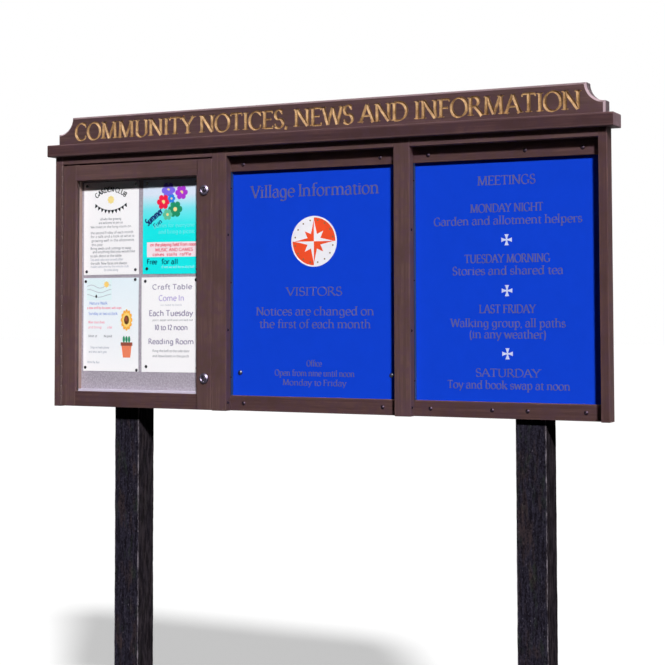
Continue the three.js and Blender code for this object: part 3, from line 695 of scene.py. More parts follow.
# Lettering. Each letter is its width and then its strokes, in hundredths of the capital height: l x y x y for
# a line and a x y rx ry from to for an arc of an ellipse in degrees. The last word names the two ends: f for
# a foot serif, b for a beak, - for a plain end.
letterShapes = {
    "A": "76, l 5 0 37 100 f-, l 37 100 71 0 -f, l 17 36 58 36 --",
    "B": "64, l 13 0 13 100 ff, a 26 76 20 24 90 -90 --, a 28 26 24 26 90 -90 --, l 13 100 26 100 --, "
         "l 13 52 28 52 --, l 13 0 28 0 --",
    "C": "74, a 41 50 35 51 48 312 bb",
    "D": "80, l 13 0 13 100 ff, a 32 50 41 50 90 -90 --, l 13 100 32 100 --, l 13 0 32 0 --",
    "E": "62, l 13 0 13 100 ff, l 13 98 54 98 -b, l 13 52 45 52 -b, l 13 2 57 2 -b",
    "F": "58, l 13 0 13 100 ff, l 13 98 53 98 -b, l 13 52 44 52 -b",
    "G": "80, a 41 50 35 51 48 300 b-, l 68 6 68 44 -f",
    "H": "84, l 14 0 14 100 ff, l 70 0 70 100 ff, l 14 52 70 52 --", "I": "32, l 16 0 16 100 ff",
    "L": "60, l 13 0 13 100 ff, l 13 2 56 2 -b",
    "M": "100, l 13 0 17 100 ff, l 17 100 49 2 --, l 49 2 81 100 --, l 81 100 86 0 ff",
    "N": "86, l 13 0 13 100 ff, l 13 100 71 2 --, l 71 2 71 100 -f", "O": "84, a 42 50 37 51 0 360 --",
    "R": "72, l 13 0 13 100 ff, a 28 75 22 25 90 -90 --, l 13 100 28 100 --, l 13 50 30 50 --, "
         "l 33 50 67 0 -f",
    "S": "56, a 28 75 19 26 35 270 b-, a 28 25 22 26 90 -150 -b",
    "T": "70, l 35 0 35 100 f-, l 5 98 65 98 bb",
    "U": "82, l 14 100 14 30 f-, a 41 30 27 31 180 360 --, l 68 30 68 100 -f",
    "V": "76, l 5 100 38 0 f-, l 38 0 71 100 -f",
    "W": "106, l 5 100 30 0 f-, l 30 0 53 95 --, l 53 95 78 0 --, l 78 0 101 100 -f",
    "Y": "74, l 5 100 37 46 f-, l 37 46 69 100 -f, l 37 46 37 0 -f",
    "a": "46, a 22 33 14 15 165 0 --, l 36 33 36 4 --, a 21 14 15 15 75 345 --, l 36 4 44 2 --",
    "b": "52, l 11 100 11 2 f-, a 27 23.5 17 24.5 0 360 --", "c": "44, a 25 23.5 19 24.5 48 318 b-",
    "d": "54, l 42 100 42 0 ff, a 24 23.5 17 24.5 0 360 --",
    "e": "46, a 25 23.5 19 24.5 5 318 --, l 8 25 43 25 --",
    "f": "34, l 17 78 17 0 -f, a 31 80 14 20 180 55 --, l 5 46 32 46 --",
    "g": "52, a 24 23.5 17 23.5 0 360 --, l 41 46 41 -10 --, a 24 -10 17 18 0 -150 --",
    "h": "56, l 12 100 12 0 ff, a 28 28 16 19 180 0 --, l 44 28 44 0 -f",
    "i": "26, l 13 47 13 0 ff, l 13 66 13 74 --",
    "j": "28, l 15 47 15 -16 f-, a 3 -16 12 14 0 -140 --, l 15 66 15 74 --",
    "k": "54, l 12 100 12 0 ff, l 13 18 42 46 -f, l 23 28 48 0 -f", "l": "26, l 13 100 13 0 ff",
    "m": "86, l 12 47 12 0 ff, a 27 28 15 19 180 0 --, l 42 28 42 0 -f, a 58 28 16 19 180 0 --, "
         "l 74 28 74 0 -f",
    "n": "56, l 12 47 12 0 ff, a 28 28 16 19 180 0 --, l 44 28 44 0 -f",
    "o": "50, a 25 23.5 20 24.5 0 360 --", "p": "54, l 12 47 12 -30 ff, a 29 23.5 17 24.5 0 360 --",
    "r": "38, l 12 47 12 0 ff, a 25 29 13 17 180 45 --",
    "s": "38, a 19 35 12 12 35 270 b-, a 19 12 14 12 90 -150 -b",
    "t": "32, l 15 64 15 12 --, a 25 12 10 12 180 300 --, l 3 46 29 46 --",
    "u": "56, l 12 47 12 17 f-, a 28 17 16 18 180 360 --, l 44 47 44 0 ff",
    "v": "48, l 4 47 24 0 f-, l 24 0 44 47 -f",
    "w": "68, l 4 47 20 0 f-, l 20 0 34 44 --, l 34 44 50 0 --, l 50 0 64 47 -f",
    "y": "48, l 4 47 25 2 f-, l 44 47 14 -30 f-", "0": "50, a 25 48 19 49 0 360 --",
    "1": "38, l 20 96 20 0 -f, l 8 82 20 96 --",
    "2": "48, a 24 71 17 26 165 -40 --, l 37 54 8 3 --, l 8 2 43 2 -b", ".": "22, l 11 1 11 9 --",
    ",": "22, l 12 8 7 -13 --", "'": "18, l 9 96 7 76 --", "(": "30, a 32 36 22 62 115 245 --",
    ")": "30, a -2 36 22 62 65 -65 --", " ": "30",
}
# An elliptical nib held at a slant, in shares of the capital height: strokes down are broad, strokes
# across are thin. A serif is a thin stroke that tapers at both ends.
nib = {
    "broadShare": 0.145, "thinShare": 0.045, "slant": 24, "serifShare": 0.17, "serifThickShare": 0.042,
    "serifSteps": 7, "serifTaper": 0.75, "smallSerif": 0.75, "smallBeak": 0.6,
    "flareShare": 0.45, "flareReachShare": 0.05, "beakShare": 0.15, "beakThick": 1.4,
}
lettering = {
    "carved": {"weight": 1.5, "thinWeight": 1.8, "serifs": True, "lineSteps": 10, "degrees": 12},
    "sign": {"weight": 1.12, "thinWeight": 1.25, "serifs": True, "lineSteps": 7, "degrees": 15},
    "bold": {"weight": 1.5, "thinWeight": 3.4, "serifs": False, "lineSteps": 2, "degrees": 30},
    "plain": {"weight": 1.1, "thinWeight": 2.4, "serifs": False, "lineSteps": 2, "degrees": 45},
}
# Small letters are drawn with bodies 0.47 high; here they grow to 0.68, and what stands above them shrinks
smallLetters = {"drawn": [-1, 0, 0.47, 1], "grown": [-1, 0, 0.68, 1.04], "widthScale": 1.32}
planeStep = 0.012 * mm    # between marks that overlap, so that they never share one plane


# Half the nib's width across a stroke: its broad side by the sine of the stroke's heading against the nib's
# slant, its thin side by the cosine, and both joined as the sides of a right angle
def nibHalfWidth(points, style):
    ahead = np.gradient(points, axis=0)
    heading = np.arctan2(ahead[:, 1], ahead[:, 0]) - math.radians(nib["slant"])
    broad, thin = nib["broadShare"] * style["weight"], nib["thinShare"] * style["thinWeight"]
    return 0.5 * np.sqrt((broad * np.sin(heading)) ** 2 + (thin * np.cos(heading)) ** 2)


# A short thin stroke between two points that swells to its middle
def taperedStroke(start, end, thick):
    share = np.linspace(0, 1, nib["serifSteps"])[:, None]
    points = np.asarray(start) * (1 - share) + np.asarray(end) * share
    return points, 0.5 * thick * (1 - nib["serifTaper"] * np.abs(2 * share[:, 0] - 1) ** 3)


# The serif or beak at one end of a stroke
def serifStrokes(point, kind, style, isSmall):
    x, y = point
    thick = nib["serifThickShare"] * style["thinWeight"]
    if kind == "f":
        reach = nib["serifShare"] * (nib["smallSerif"] if isSmall else 1)
        y += thick / 2 if -0.2 < y < 0.3 else -thick / 2
        return [taperedStroke((x - reach, y), (x + reach, y), thick)]
    if kind == "b":
        drop = nib["beakShare"] * (nib["smallBeak"] if isSmall else 1)
        low = y if y < 0.2 else y - drop
        if 0.45 < y < 0.6 and not isSmall:
            low = y - drop / 2
        return [taperedStroke((x, low), (x, low + drop), thick * nib["beakThick"])]
    return []


# The strokes of one letter, as points and half widths, in shares of the capital height
def letterStrokes(letter, style):
    strokes = []
    isSmall = letter.islower()
    for text in letterShapes[letter].split(", ")[1:]:
        kind, *numbers, ends = text.split()
        values = np.array(numbers, float)
        if kind == "l":
            share = np.linspace(0, 1, style["lineSteps"])[:, None]
            points = (values[:2] * (1 - share) + values[2:] * share) / 100
        else:
            first, last = values[4:]
            steps = max(3, int(abs(last - first) / style["degrees"]))
            turn = np.radians(np.linspace(first, last, steps + 1))
            points = (values[:2] + values[2:4] * spoke(turn)) / 100
        half = nibHalfWidth(points, style)
        if style["serifs"]:
            gone = np.concatenate([[0], np.cumsum(np.linalg.norm(np.diff(points, axis=0), axis=1))])
            for end, distance, place in ((ends[0], gone, 0), (ends[1], gone[-1] - gone, -1)):
                if end == "f":
                    half = half * (1 + nib["flareShare"] * np.exp(-distance / nib["flareReachShare"]))
                strokes += serifStrokes(points[place], end, style, isSmall)
        strokes.append((points, half))
    if isSmall:
        scale, drawn, grown = smallLetters["widthScale"], smallLetters["drawn"], smallLetters["grown"]
        strokes = [(np.stack([points[:, 0] * scale, np.interp(points[:, 1], drawn, grown)], -1), half)
                   for points, half in strokes]
    return strokes


# A line of words, centred on 0 along X with its foot at 0, at a capital height and stretched to a width
def wordStrokes(words, height, width, styleName="sign"):
    widths = np.array([float(letterShapes[letter].split(", ")[0]) / 100
                       * (smallLetters["widthScale"] if letter.islower() else 1) for letter in words])
    stretch = width / (widths.sum() * height)
    starts = np.concatenate([[0], np.cumsum(widths)[:-1]])
    strokes = []
    for letter, start in zip(words, starts):
        for points, half in letterStrokes(letter, lettering[styleName]):
            placed = (points + [start, 0]) * height * [stretch, 1]
            strokes.append((placed - [width / 2, 0], half * height))
    return strokes


# Both edges of a stroke, each a half width to one side of its line
def strokeEdges(points, half):
    ahead = np.gradient(points, axis=0)
    ahead /= np.linalg.norm(ahead, axis=1, keepdims=True)
    aside = np.stack([-ahead[:, 1], ahead[:, 0]], -1) * half[:, None]
    return points + aside, points - aside


# Flat pieces are laid on a surface by a placer, which turns flat points and a lift in front of the face into
# space. This one is for an upright face: the points become X and Z about a centre.
def onFace(centreX, face, foot):
    def place(points, lift):
        depths = np.full(len(points), face - lift)
        return np.stack([centreX + points[:, 0], depths, foot + points[:, 1]], -1)
    return place


# A flat ribbon between two edges, from one lift to another
def ribbonSolid(left, right, place, lift, top):
    return lofted(np.stack([place(left, lift), place(left, top), place(right, top), place(right, lift)], 1))


# A flat plate inside an outline
def plateSolid(outline, place, lift, thick):
    return lofted(np.stack([place(outline, lift), place(outline, lift + thick)]))


# Strokes laid flat, each a ribbon a nib wide
def flatStrokes(strokes, place, lift, thick):
    return joined([
        ribbonSolid(*strokeEdges(points, half), place, lift, lift + thick + planeStep * (number % 7))
        for number, (points, half) in enumerate(strokes)
    ])


# Carved strokes: wedges whose edges meet the face at the letter's outline and whose keel follows its middle
def wedgeStrokes(strokes, place, slope, overrun):
    solids = []
    for points, half in strokes:
        depth = half * slope
        left, right = strokeEdges(points, half * (1 + overrun / depth))
        rings = np.stack([place(left, overrun), place(right, overrun), place(points, -depth)], 1)
        solids.append(lofted(rings))
    return joined(solids)


# Header board: outline with scalloped shoulders, bevelled towards the front, and carved words
headerShape = {
    "words": "COMMUNITY NOTICES, NEWS AND INFORMATION",
    "capital": 53 * mm, "foot": 14 * mm, "sideMargin": 66 * mm, "slope": 0.75,
    "overrun": 0.6 * mm, "scallop": 53 * mm, "bevel": 5.5 * mm, "scallopSteps": 40, "arris": 0.8 * mm,
}


# From the lower right corner up the side, round the hollow of the shoulder and across the top, and mirrored
def headerOutline(halfWidth, height, inset):
    reach = headerShape["scallop"] + inset
    tilt = math.asin(inset / reach)
    turn = np.linspace(-np.pi / 2 - tilt, -np.pi + tilt, headerShape["scallopSteps"] + 1)
    right = np.concatenate([[[halfWidth - inset, 0]], [halfWidth, height] + reach * spoke(turn)])
    return np.concatenate([right, (right * [-1, 1])[::-1]])


def addHeader():
    spec = headerShape
    low, high = spanOf("header_board")
    halfWidth, height, thick = (high[0] - low[0]) / 2, high[2] - low[2], high[1] - low[1]
    arris, bevel = spec["arris"], spec["bevel"]
    # How far in the outline lies, how far behind the face, and how far it is rubbed
    layers = [(bevel + arris, 0, 0.0), (bevel, arris * 0.35, 1.0), (arris * 0.4, bevel, 1.0),
              (0, bevel + arris, 0.0), (0, thick - arris, 0.0), (arris, thick, 1.0)]
    rings = layeredRings([(headerOutline(halfWidth, height, inset), depth) for inset, depth, _ in layers],
                         (0, low[1], low[2]))
    values = np.repeat([wear for *_, wear in layers], rings.shape[1])
    board = makeMesh("header_with_words", lofted(rings), ["headerAcross", "gold"], values)
    strokes = wordStrokes(spec["words"], spec["capital"], 2 * (halfWidth - spec["sideMargin"]), "carved")
    raised = [(points + [0, low[2] + spec["foot"]], half) for points, half in strokes]
    wedges = wedgeStrokes(raised, onFace(0, low[1], 0), spec["slope"], spec["overrun"])
    carved = cutFrom(board, wedges, ["gold"])
    addMesh("header_with_words", carved, "canopy_timber", ["header_board"], sharp=25)


addHeader()
print("header carved")


# Sign panels: words, ornaments and an emblem laid on the blue sheets. Each line of words: its foot above the
# board's foot, capital height and width, all in millimetres.
boardFoot = spanOf("left_stile")[0, 2]
signLines = {
    "middle": [
        ("Village Information", 646, 37, 428),
        ("VISITORS", 348, 25, 187),
        ("Notices are changed on", 289, 25, 393),
        ("the first of each month", 251, 25, 372),
        ("Office", 137, 18, 50),
        ("Open from nine until noon", 108, 18, 265),
        ("Monday to Friday", 80, 18, 212),
    ],
    "right": [
        ("MEETINGS", 657, 26, 173),
        ("MONDAY NIGHT", 580, 23.5, 217),
        ("Garden and allotment helpers", 545, 23.5, 440),
        ("TUESDAY MORNING", 437, 23.5, 254),
        ("Stories and shared tea", 403, 23.5, 328),
        ("LAST FRIDAY", 295, 23.5, 167),
        ("Walking group, all paths", 255.5, 23.5, 340),
        ("(in any weather)", 224, 23.5, 227),
        ("SATURDAY", 116, 22.5, 192),
        ("Toy and book swap at noon", 82, 22.5, 362),
    ],
}
signSpec = {
    "lift": 0.02 * mm, "vinyl": 0.22 * mm, "crossRises": [501, 358, 181],
    "cross": 31 * mm, "crossMiddle": 0.02, "crossSteps": 9, "waistShare": 0.13, "flareShare": 0.42,
}
emblemSpec = {    # in millimetres
    "rise": 510, "radius": 76, "rim": 4.5, "steps": 96, "long": 66, "short": 44, "waist": 17,
    "studs": 16, "studRadius": 2.6, "studReach": 0.84,
    "baseLift": 0.05, "starLift": 0.35, "shortLift": 0.2, "rimLift": 0.3,
}


# Placer onto a sign panel: 0 is its middle across, at a rise above the board's foot
def onPanel(bay, rise):
    low, high = spanOf(bay + "_sign_panel")
    return onFace((low[0] + high[0]) / 2, low[1], boardFoot + rise * mm)


# Four arms, each as wide as its waist at the middle and flaring with the square of the distance out
def crossSolid(place):
    spec = signSpec
    size, waist, flare = spec["cross"], spec["waistShare"], spec["flareShare"]
    reach = np.linspace(spec["crossMiddle"], 0.5, spec["crossSteps"])[:, None] * size
    half = size * (waist + (flare - waist) * (reach / (size / 2)) ** 2) / 2
    arms = []
    for number in range(4):
        turn = math.radians(90 * number)
        middle, aside = reach * spoke(turn), half * spoke(turn + math.pi / 2)
        top = spec["lift"] + spec["vinyl"] + planeStep * number
        arms.append(ribbonSolid(middle + aside, middle - aside, place, spec["lift"], top))
    return joined(arms)


# A round disc in quarters of two colours, a rim, and a compass star of eight kites, each kite split along its
# length and laid in the colour that the quarter under it isn't; small studs stand in a ring
def emblemPlates(place):
    spec = emblemSpec
    plates = {"white": [], "red": [], "bronze": []}
    quarterColours = ["red", "white"]
    radius, circle = spec["radius"] * mm, circleOf(spec["steps"])

    def lay(colour, outline, lift):
        plates[colour].append(plateSolid(outline, place, 0, spec[lift] * mm))

    for number in range(4):
        turn = np.radians(90 * number + np.linspace(0, 90, spec["steps"] // 4 + 1))
        lay(quarterColours[number % 2], np.concatenate([[[0, 0]], radius * spoke(turn)]), "baseLift")
    inner, outer, top = circle * (radius - spec["rim"] * mm), circle * radius, spec["rimLift"] * mm
    rim = np.stack([place(inner, 0), place(inner, top), place(outer, top), place(outer, 0)], 1)
    plates["white"].append(looped(rim))
    for number in range(8):
        angle = math.radians(45 * number)
        length, lift = ("short", "shortLift") if number % 2 else ("long", "starLift")
        for side in (-1, 1):
            corner = spec["waist"] * spoke(angle + side * math.pi / 4)
            quarter = int((angle + side * 0.1) // (math.pi / 2)) % 2
            kite = np.array([[0, 0], corner, spec[length] * spoke(angle)]) * mm
            lay(quarterColours[1 - quarter], kite, lift)
    for stud in np.linspace(0, 2 * np.pi, spec["studs"], endpoint=False) + np.pi / spec["studs"]:
        disc = radius * spec["studReach"] * spoke(stud) + circle[::6] * spec["studRadius"] * mm
        lay("bronze", disc, "shortLift")
    return plates


def addSignMarks():
    for bay, lines in signLines.items():
        solids = [
            flatStrokes(wordStrokes(words, capital * mm, width * mm), onPanel(bay, rise),
                        signSpec["lift"], signSpec["vinyl"])
            for words, rise, capital, width in lines
        ]
        addSolid(bay + "_sign_lettering", joined(solids), "letter")
    crosses = [crossSolid(onPanel("right", rise)) for rise in signSpec["crossRises"]]
    addSolid("sign_ornaments", joined(crosses), "cross")
    for colour, plates in emblemPlates(onPanel("middle", emblemSpec["rise"])).items():
        addSolid("sign_star_" + colour, joined(plates), colour)


addSignMarks()
print("sign panels made")


# Door timbers: bars with the rebate for the pane cut out behind, and the lock holes through
doorSpec = {
    "wear": 0.3, "spare": 0.5 * mm, "holeRadius": 9.8 * mm, "overrun": 2 * mm, "holeSegments": 48,
    "bars": [("door_hinge_stile", "z", "brownUpright"), ("door_lock_stile", "z", "brownUpright"),
             ("door_top_rail", "x", "brownAcross"), ("door_bottom_rail", "x", "deepAcross")],
}


# The middle of a node's box, moved to a depth
def middleAt(node, depth):
    centre = middleOf(node)
    centre[1] = depth
    return centre


def addDoorTimbers():
    spec = doorSpec
    paneLow, paneHigh = spanOf("door_glazing")
    front, back = spanOf("door_lock_stile")[:, 1]
    spare = spec["spare"] * np.array([1, 0, 1])
    behind = np.array([0, back - paneHigh[1] + spec["overrun"], 0])
    rebate = boxSolid(paneLow - spare, paneHigh + spare + behind)
    profile = [(spec["holeRadius"], 0), (spec["holeRadius"], back - front + 2 * spec["overrun"])]
    holes = [
        turnedSolid(profile, middleAt(node, front - spec["overrun"]), (0, 1, 0), spec["holeSegments"])
        for node in ("upper_lock_body", "lower_lock_body")
    ]
    for node, along, finish in spec["bars"]:
        solid, values = barSolid(*spanOf(node), along, "door")
        mesh = cutFrom(makeMesh(node + "_bar", solid, [finish], values * spec["wear"]), rebate)
        if node == "door_lock_stile":
            mesh = cutFrom(mesh, joined(holes))
        addMesh(node + "_bar", mesh, "brown_timber", [node], body="door")


# Four flat strips round the pane's back, as wide as the timbers in front of them reach over the pane
def addRetainer():
    low, high = spanOf("glazing_retainer")
    left, right = spanOf("door_hinge_stile")[1, 0], spanOf("door_lock_stile")[0, 0]
    foot, head = spanOf("door_bottom_rail")[1, 2], spanOf("door_top_rail")[0, 2]
    strips = [
        (low[0], left, low[2], high[2]), (right, high[0], low[2], high[2]),
        (left, right, low[2], foot), (left, right, head, high[2]),
    ]
    solids = [boxSolid(np.array([x0, low[1], z0]), np.array([x1, high[1], z1])) for x0, x1, z0, z1 in strips]
    addSolid("retainer_strips", joined(solids), "retainer", ["glazing_retainer"], body="door")


addDoorTimbers()
addRetainer()
print("door timbers made")


# Cam locks: a round head with a dished face, a cylinder with its key slot, a cam, its screw and a nut
lockSpec = {
    "segments": 96, "headRadius": 15.5 * mm, "proud": 8 * mm, "bore": 6.5 * mm,
    "slope": 35, "bezel": 5.4 * mm, "lip": 0.5 * mm, "lipSteps": 7, "bowl": 2.8 * mm, "edge": 0.2 * mm,
    "throat": 0.6 * mm, "barrel": 9.5 * mm, "clearance": 0.3 * mm,
    "plug": 6.2 * mm, "plugSunk": 1.3 * mm, "plugRound": 0.6 * mm,
    "slot": np.array([1.8, 7.5]) * mm, "slotDepth": 9 * mm, "slotSquareness": 8,
    "tail": 3.8 * mm, "screw": 6 * mm, "screwHead": 3 * mm, "camThickness": 2.5 * mm,
}


# The head in section, front at a negative reach: a bowl that slopes in to the cylinder, a rounded lip, a
# bezel that slopes out at the same angle, a short side and the barrel behind
def lockHeadSection(length):
    spec = lockSpec
    head, lip, edge, bore = spec["headRadius"], spec["lip"], spec["edge"], spec["bore"]
    fall = math.tan(math.radians(spec["slope"]))
    turn = np.radians(np.linspace(spec["slope"], -spec["slope"], spec["lipSteps"]))
    rounded = np.stack([head - spec["bezel"] - 2 * lip * np.sin(turn),
                        2 * lip * (1 - np.cos(turn)) - spec["proud"]], -1)
    rimDepth = rounded[-1, 1] + (head - rounded[-1, 0]) * fall
    bowlDepth = rounded[0, 1] + spec["bowl"] * fall
    return np.concatenate([
        [(bore, bowlDepth + spec["throat"]), (rounded[0, 0] - spec["bowl"], bowlDepth)],
        rounded,
        [(head, rimDepth), (head, -edge), (head - edge, 0), (spec["barrel"], 0), (spec["barrel"], length),
         (bore, length)],
    ])


# Outline of the key slot: a superellipse with a high power, nearly a rectangle
def slotOutline(circle):
    shares, power = np.abs(circle) / (lockSpec["slot"] / 2), lockSpec["slotSquareness"]
    return circle * ((shares ** power).sum(-1) ** (-1 / power))[:, None]


# Rings from the slot's floor up its walls, out over the face, down the side and round the tail and screw
def lockPlugSolid(centre, shoulder):
    spec = lockSpec
    circle = circleOf(spec["segments"])
    slot = slotOutline(circle)
    front = spec["plugSunk"] - spec["proud"]
    floor = front + spec["slotDepth"]
    edge = spec["plug"] - spec["plugRound"]
    layers = [(slot * 0.05, floor), (slot, floor), (slot, front)]
    layers += [(slot * (1 - share) + circle * edge * share, front) for share in np.linspace(0.03, 1, 8)]
    rounding = np.array([edge, front + spec["plugRound"]])
    rounding = rounding + spec["plugRound"] * spoke(np.radians(np.linspace(-78, 0, 6)))
    camBack = shoulder + spec["camThickness"]
    screwBack = camBack + spec["screwHead"]
    layers += [(circle * radius, reach) for radius, reach in [
        *rounding, (spec["plug"], shoulder), (spec["tail"], shoulder), (spec["tail"], camBack),
        (spec["screw"], camBack), (spec["screw"], camBack + spec["screwHead"] * 0.7),
        (spec["screw"] * 0.9, screwBack), (spec["screw"] * 0.05, screwBack),
    ]]
    return lofted(layeredRings(layers, centre))


def addLocks():
    face = spanOf("door_lock_stile")[0, 1]
    for lock in ("upper_lock", "lower_lock"):
        centre = middleAt(lock + "_body", face)
        length = spanOf(lock + "_body")[1, 1] - face
        head = looped(turnedRings(lockHeadSection(length), centre, (0, 1, 0), lockSpec["segments"]))
        addSolid(lock + "_head", head, "chrome", [lock + "_body"], body="door", sharp=40)
        plug = lockPlugSolid(centre, length + lockSpec["clearance"])
        addSolid(lock + "_key_plug", plug, "chrome", [lock + "_plug"], body=lock + "_cylinder", sharp=40)


addLocks()
print("locks made")


# Continuous hinge: two leaves rolled into knuckles by turns, and the pin through them
hingeSpec = {
    "knuckles": 24, "gap": 0.5 * mm, "radius": 3.5 * mm, "bore": 1.9 * mm, "leaf": 1 * mm, "split": 0.15 * mm,
    "round": 0.5 * mm, "leafBehind": 0.3 * mm, "tabBehind": 0.4 * mm, "overlap": 0.5 * mm, "segments": 32,
}


# From the bore out along the foot, up the outside and back along the top, with softened edges
def knuckleSection(bottom, top):
    bore, outer, soft = hingeSpec["bore"], hingeSpec["radius"], hingeSpec["round"]
    end = np.array([(bore, 0), (outer - soft, 0), (outer - 0.3 * soft, 0.3 * soft), (outer, soft)])
    return np.concatenate([end + [0, bottom], end[::-1] * [1, -1] + [0, top]])


def addHinge():
    spec = hingeSpec
    pinLow, pinHigh = spanOf("hinge_pin")
    axis = (pinLow + pinHigh) / 2
    foot, head = pinLow[2], pinHigh[2]
    pitch, gap = (head - foot) / spec["knuckles"], spec["gap"]
    for first, side, node, body in ((0, -1, "hinge_frame_leaf", "board"), (1, 1, "hinge_door_leaf", "door")):
        inner = axis[0] + side * spec["split"]
        left, right = sorted([inner, inner + side * spec["leaf"]])
        front = axis[1] + spec["radius"] + spec["leafBehind"]
        tabFront, tabBack = axis[1] + spec["bore"] + spec["tabBehind"], front + spec["overlap"]
        solids = [boxSolid(np.array([left, front, foot]), np.array([right, spanOf(node)[1, 1], head]))]
        for number in range(first, spec["knuckles"], 2):
            bottom, top = foot + number * pitch + gap / 2, foot + (number + 1) * pitch - gap / 2
            rings = turnedRings(knuckleSection(bottom, top), axis * [1, 1, 0], (0, 0, 1), spec["segments"])
            tabLow, tabHigh = np.array([left, tabFront, bottom]), np.array([right, tabBack, top])
            solids += [looped(rings), boxSolid(tabLow, tabHigh)]
        addSolid(node + "_rolled", joined(solids), "hinge", [node], body=body)
    radius, soft, length = (pinHigh[0] - pinLow[0]) / 2, spec["round"], head - foot
    profile = [(radius * 0.6, 0), (radius, soft), (radius, length - soft), (radius * 0.6, length)]
    rod = turnedSolid(profile, (axis[0], axis[1], foot), (0, 0, 1), spec["segments"])
    addSolid("hinge_rod", rod, "zinc", ["hinge_pin"])


addHinge()
print("hinge made")

sealSpec = {"width": 6 * mm, "steps": 16, "corner": 3 * mm, "cornerSteps": 8, "rim": 1 * mm}


# An oval section carried round a rectangle whose corners are quarter circles
def addSeal():
    spec = sealSpec
    low, high = spanOf("door_seal")
    radii = np.array([spec["width"], high[1] - low[1]]) / 2
    section = circleOf(spec["steps"]) * radii
    low, high, depth = low[[0, 2]] + radii[0], high[[0, 2]] - radii[0], (low[1] + high[1]) / 2
    path, _ = roundedOutline(*(high - low), spec["corner"], spec["cornerSteps"], spec["rim"])
    ahead = np.roll(path, -1, axis=0) - np.roll(path, 1, axis=0)
    ahead /= np.linalg.norm(ahead, axis=1, keepdims=True)
    outward = np.stack([ahead[:, 1], -ahead[:, 0]], -1)
    flat = (low + high) / 2 + path[:, None] + outward[:, None] * section[None, :, :1]
    rings = np.stack([flat[..., 0], np.full(flat.shape[:2], depth) + section[:, 1], flat[..., 1]], -1)
    addSolid("door_seal_foam", looped(rings), "seal", ["door_seal"])


addSeal()
print("seal made")


# Screws, pins and bolts. Places across and rises above the board's foot are in millimetres.
stripScrews = {    # on the foot strip and on the head strip
    "middle": ([-234, 227], [-236, 222.5]),
    "right": ([377, 563, 667, 834], [373.5, 666, 832]),
}
fixings = {
    "radius": 6.2 * mm, "height": 3 * mm, "bottomRise": 22.5 * mm, "topRise": 20.5 * mm,
    "sides": [("display_mullion", 1), ("right_mullion", 0), ("right_mullion", 1), ("right_stile", 0)],
    "sideRises": [25, 245, 535], "sideDepth": 13 * mm, "sideShare": 0.8,
    "pinRises": [101, 389, 678], "pin": (2.6 * mm, 1.4 * mm, 6, -0.3 * mm), "pinSegments": 24,
    "beadWidth": 1.4 * mm, "beadThickness": 13 * mm, "capSteps": 16, "capSegments": 64,
    "backSize": (3.6 * mm, 1.4 * mm), "backInset": 12 * mm,
}
forward, backward = (0, -1, 0), (0, 1, 0)


def addScrews():
    spec = fixings
    radius, height = spec["radius"], spec["height"]
    screws = []
    for bay, (bottoms, heads) in stripScrews.items():
        face, soffit = spanOf(bay + "_bottom_strip")[0, 1], spanOf(bay + "_top_strip")[0, 2]
        for places, level in ((bottoms, boardFoot + spec["bottomRise"]), (heads, soffit + spec["topRise"])):
            screws += [screwSolid((x * mm, face, level), forward, radius, height) for x in places]
    addSolid("strip_screws", joined(screws), "screw")
    screws = []
    for node, corner in spec["sides"]:
        span = spanOf(node)
        for rise in spec["sideRises"]:
            centre = (span[corner, 0], span[0, 1] + spec["sideDepth"], boardFoot + rise * mm)
            screws.append(screwSolid(centre, (2 * corner - 1, 0, 0), radius * spec["sideShare"], height))
    addSolid("mullion_screws", joined(screws), "screw")


# Thin beads that hold the sign sheets at their sides, with small round pins
def addBeads():
    spec = fixings
    for bay in ("middle", "right"):
        panel = spanOf(bay + "_sign_panel")
        bottom, top = spanOf(bay + "_bottom_strip")[1, 2], spanOf(bay + "_top_strip")[0, 2]
        beads, pins = [], []
        for edge, side in zip(panel[:, 0], (1, -1)):
            left, right = sorted([edge, edge + side * spec["beadWidth"]])
            front = panel[0, 1] - spec["beadThickness"]
            low, high = np.array([left, front, bottom]), np.array([right, panel[0, 1], top])
            beads.append(barSolid(low, high, "z", "bead")[0])
            for rise in spec["pinRises"]:
                centre = ((left + right) / 2, front, boardFoot + rise * mm)
                pins.append(turnedSolid(domeProfile(*spec["pin"]), centre, forward, spec["pinSegments"]))
        addSolid(bay + "_sign_beads", joined(beads), "bead")
        addSolid(bay + "_bead_pins", joined(pins), "screw")


def addPanelCaps():
    for side in ("left", "right"):
        node = side + "_panel_cap"
        low, high = spanOf(node)
        profile = domeProfile((high[0] - low[0]) / 2, high[1] - low[1], fixings["capSteps"])
        dome = turnedSolid(profile, middleAt(node, high[1]), forward, fixings["capSegments"])
        addSolid(side + "_panel_dome", dome, "dome", [node])


# Bolts from behind: shank, washer, and a hexagonal head whose corners a cone trims
boltSpec = {
    "washerRadius": 12 * mm, "washer": 2.5 * mm, "headRadius": 9 * mm, "head": 6 * mm, "shank": 5 * mm,
    "segments": 72, "cone": 0.55, "chamfer": 0.94, "edge": 0.6 * mm, "point": 1 * mm,
}


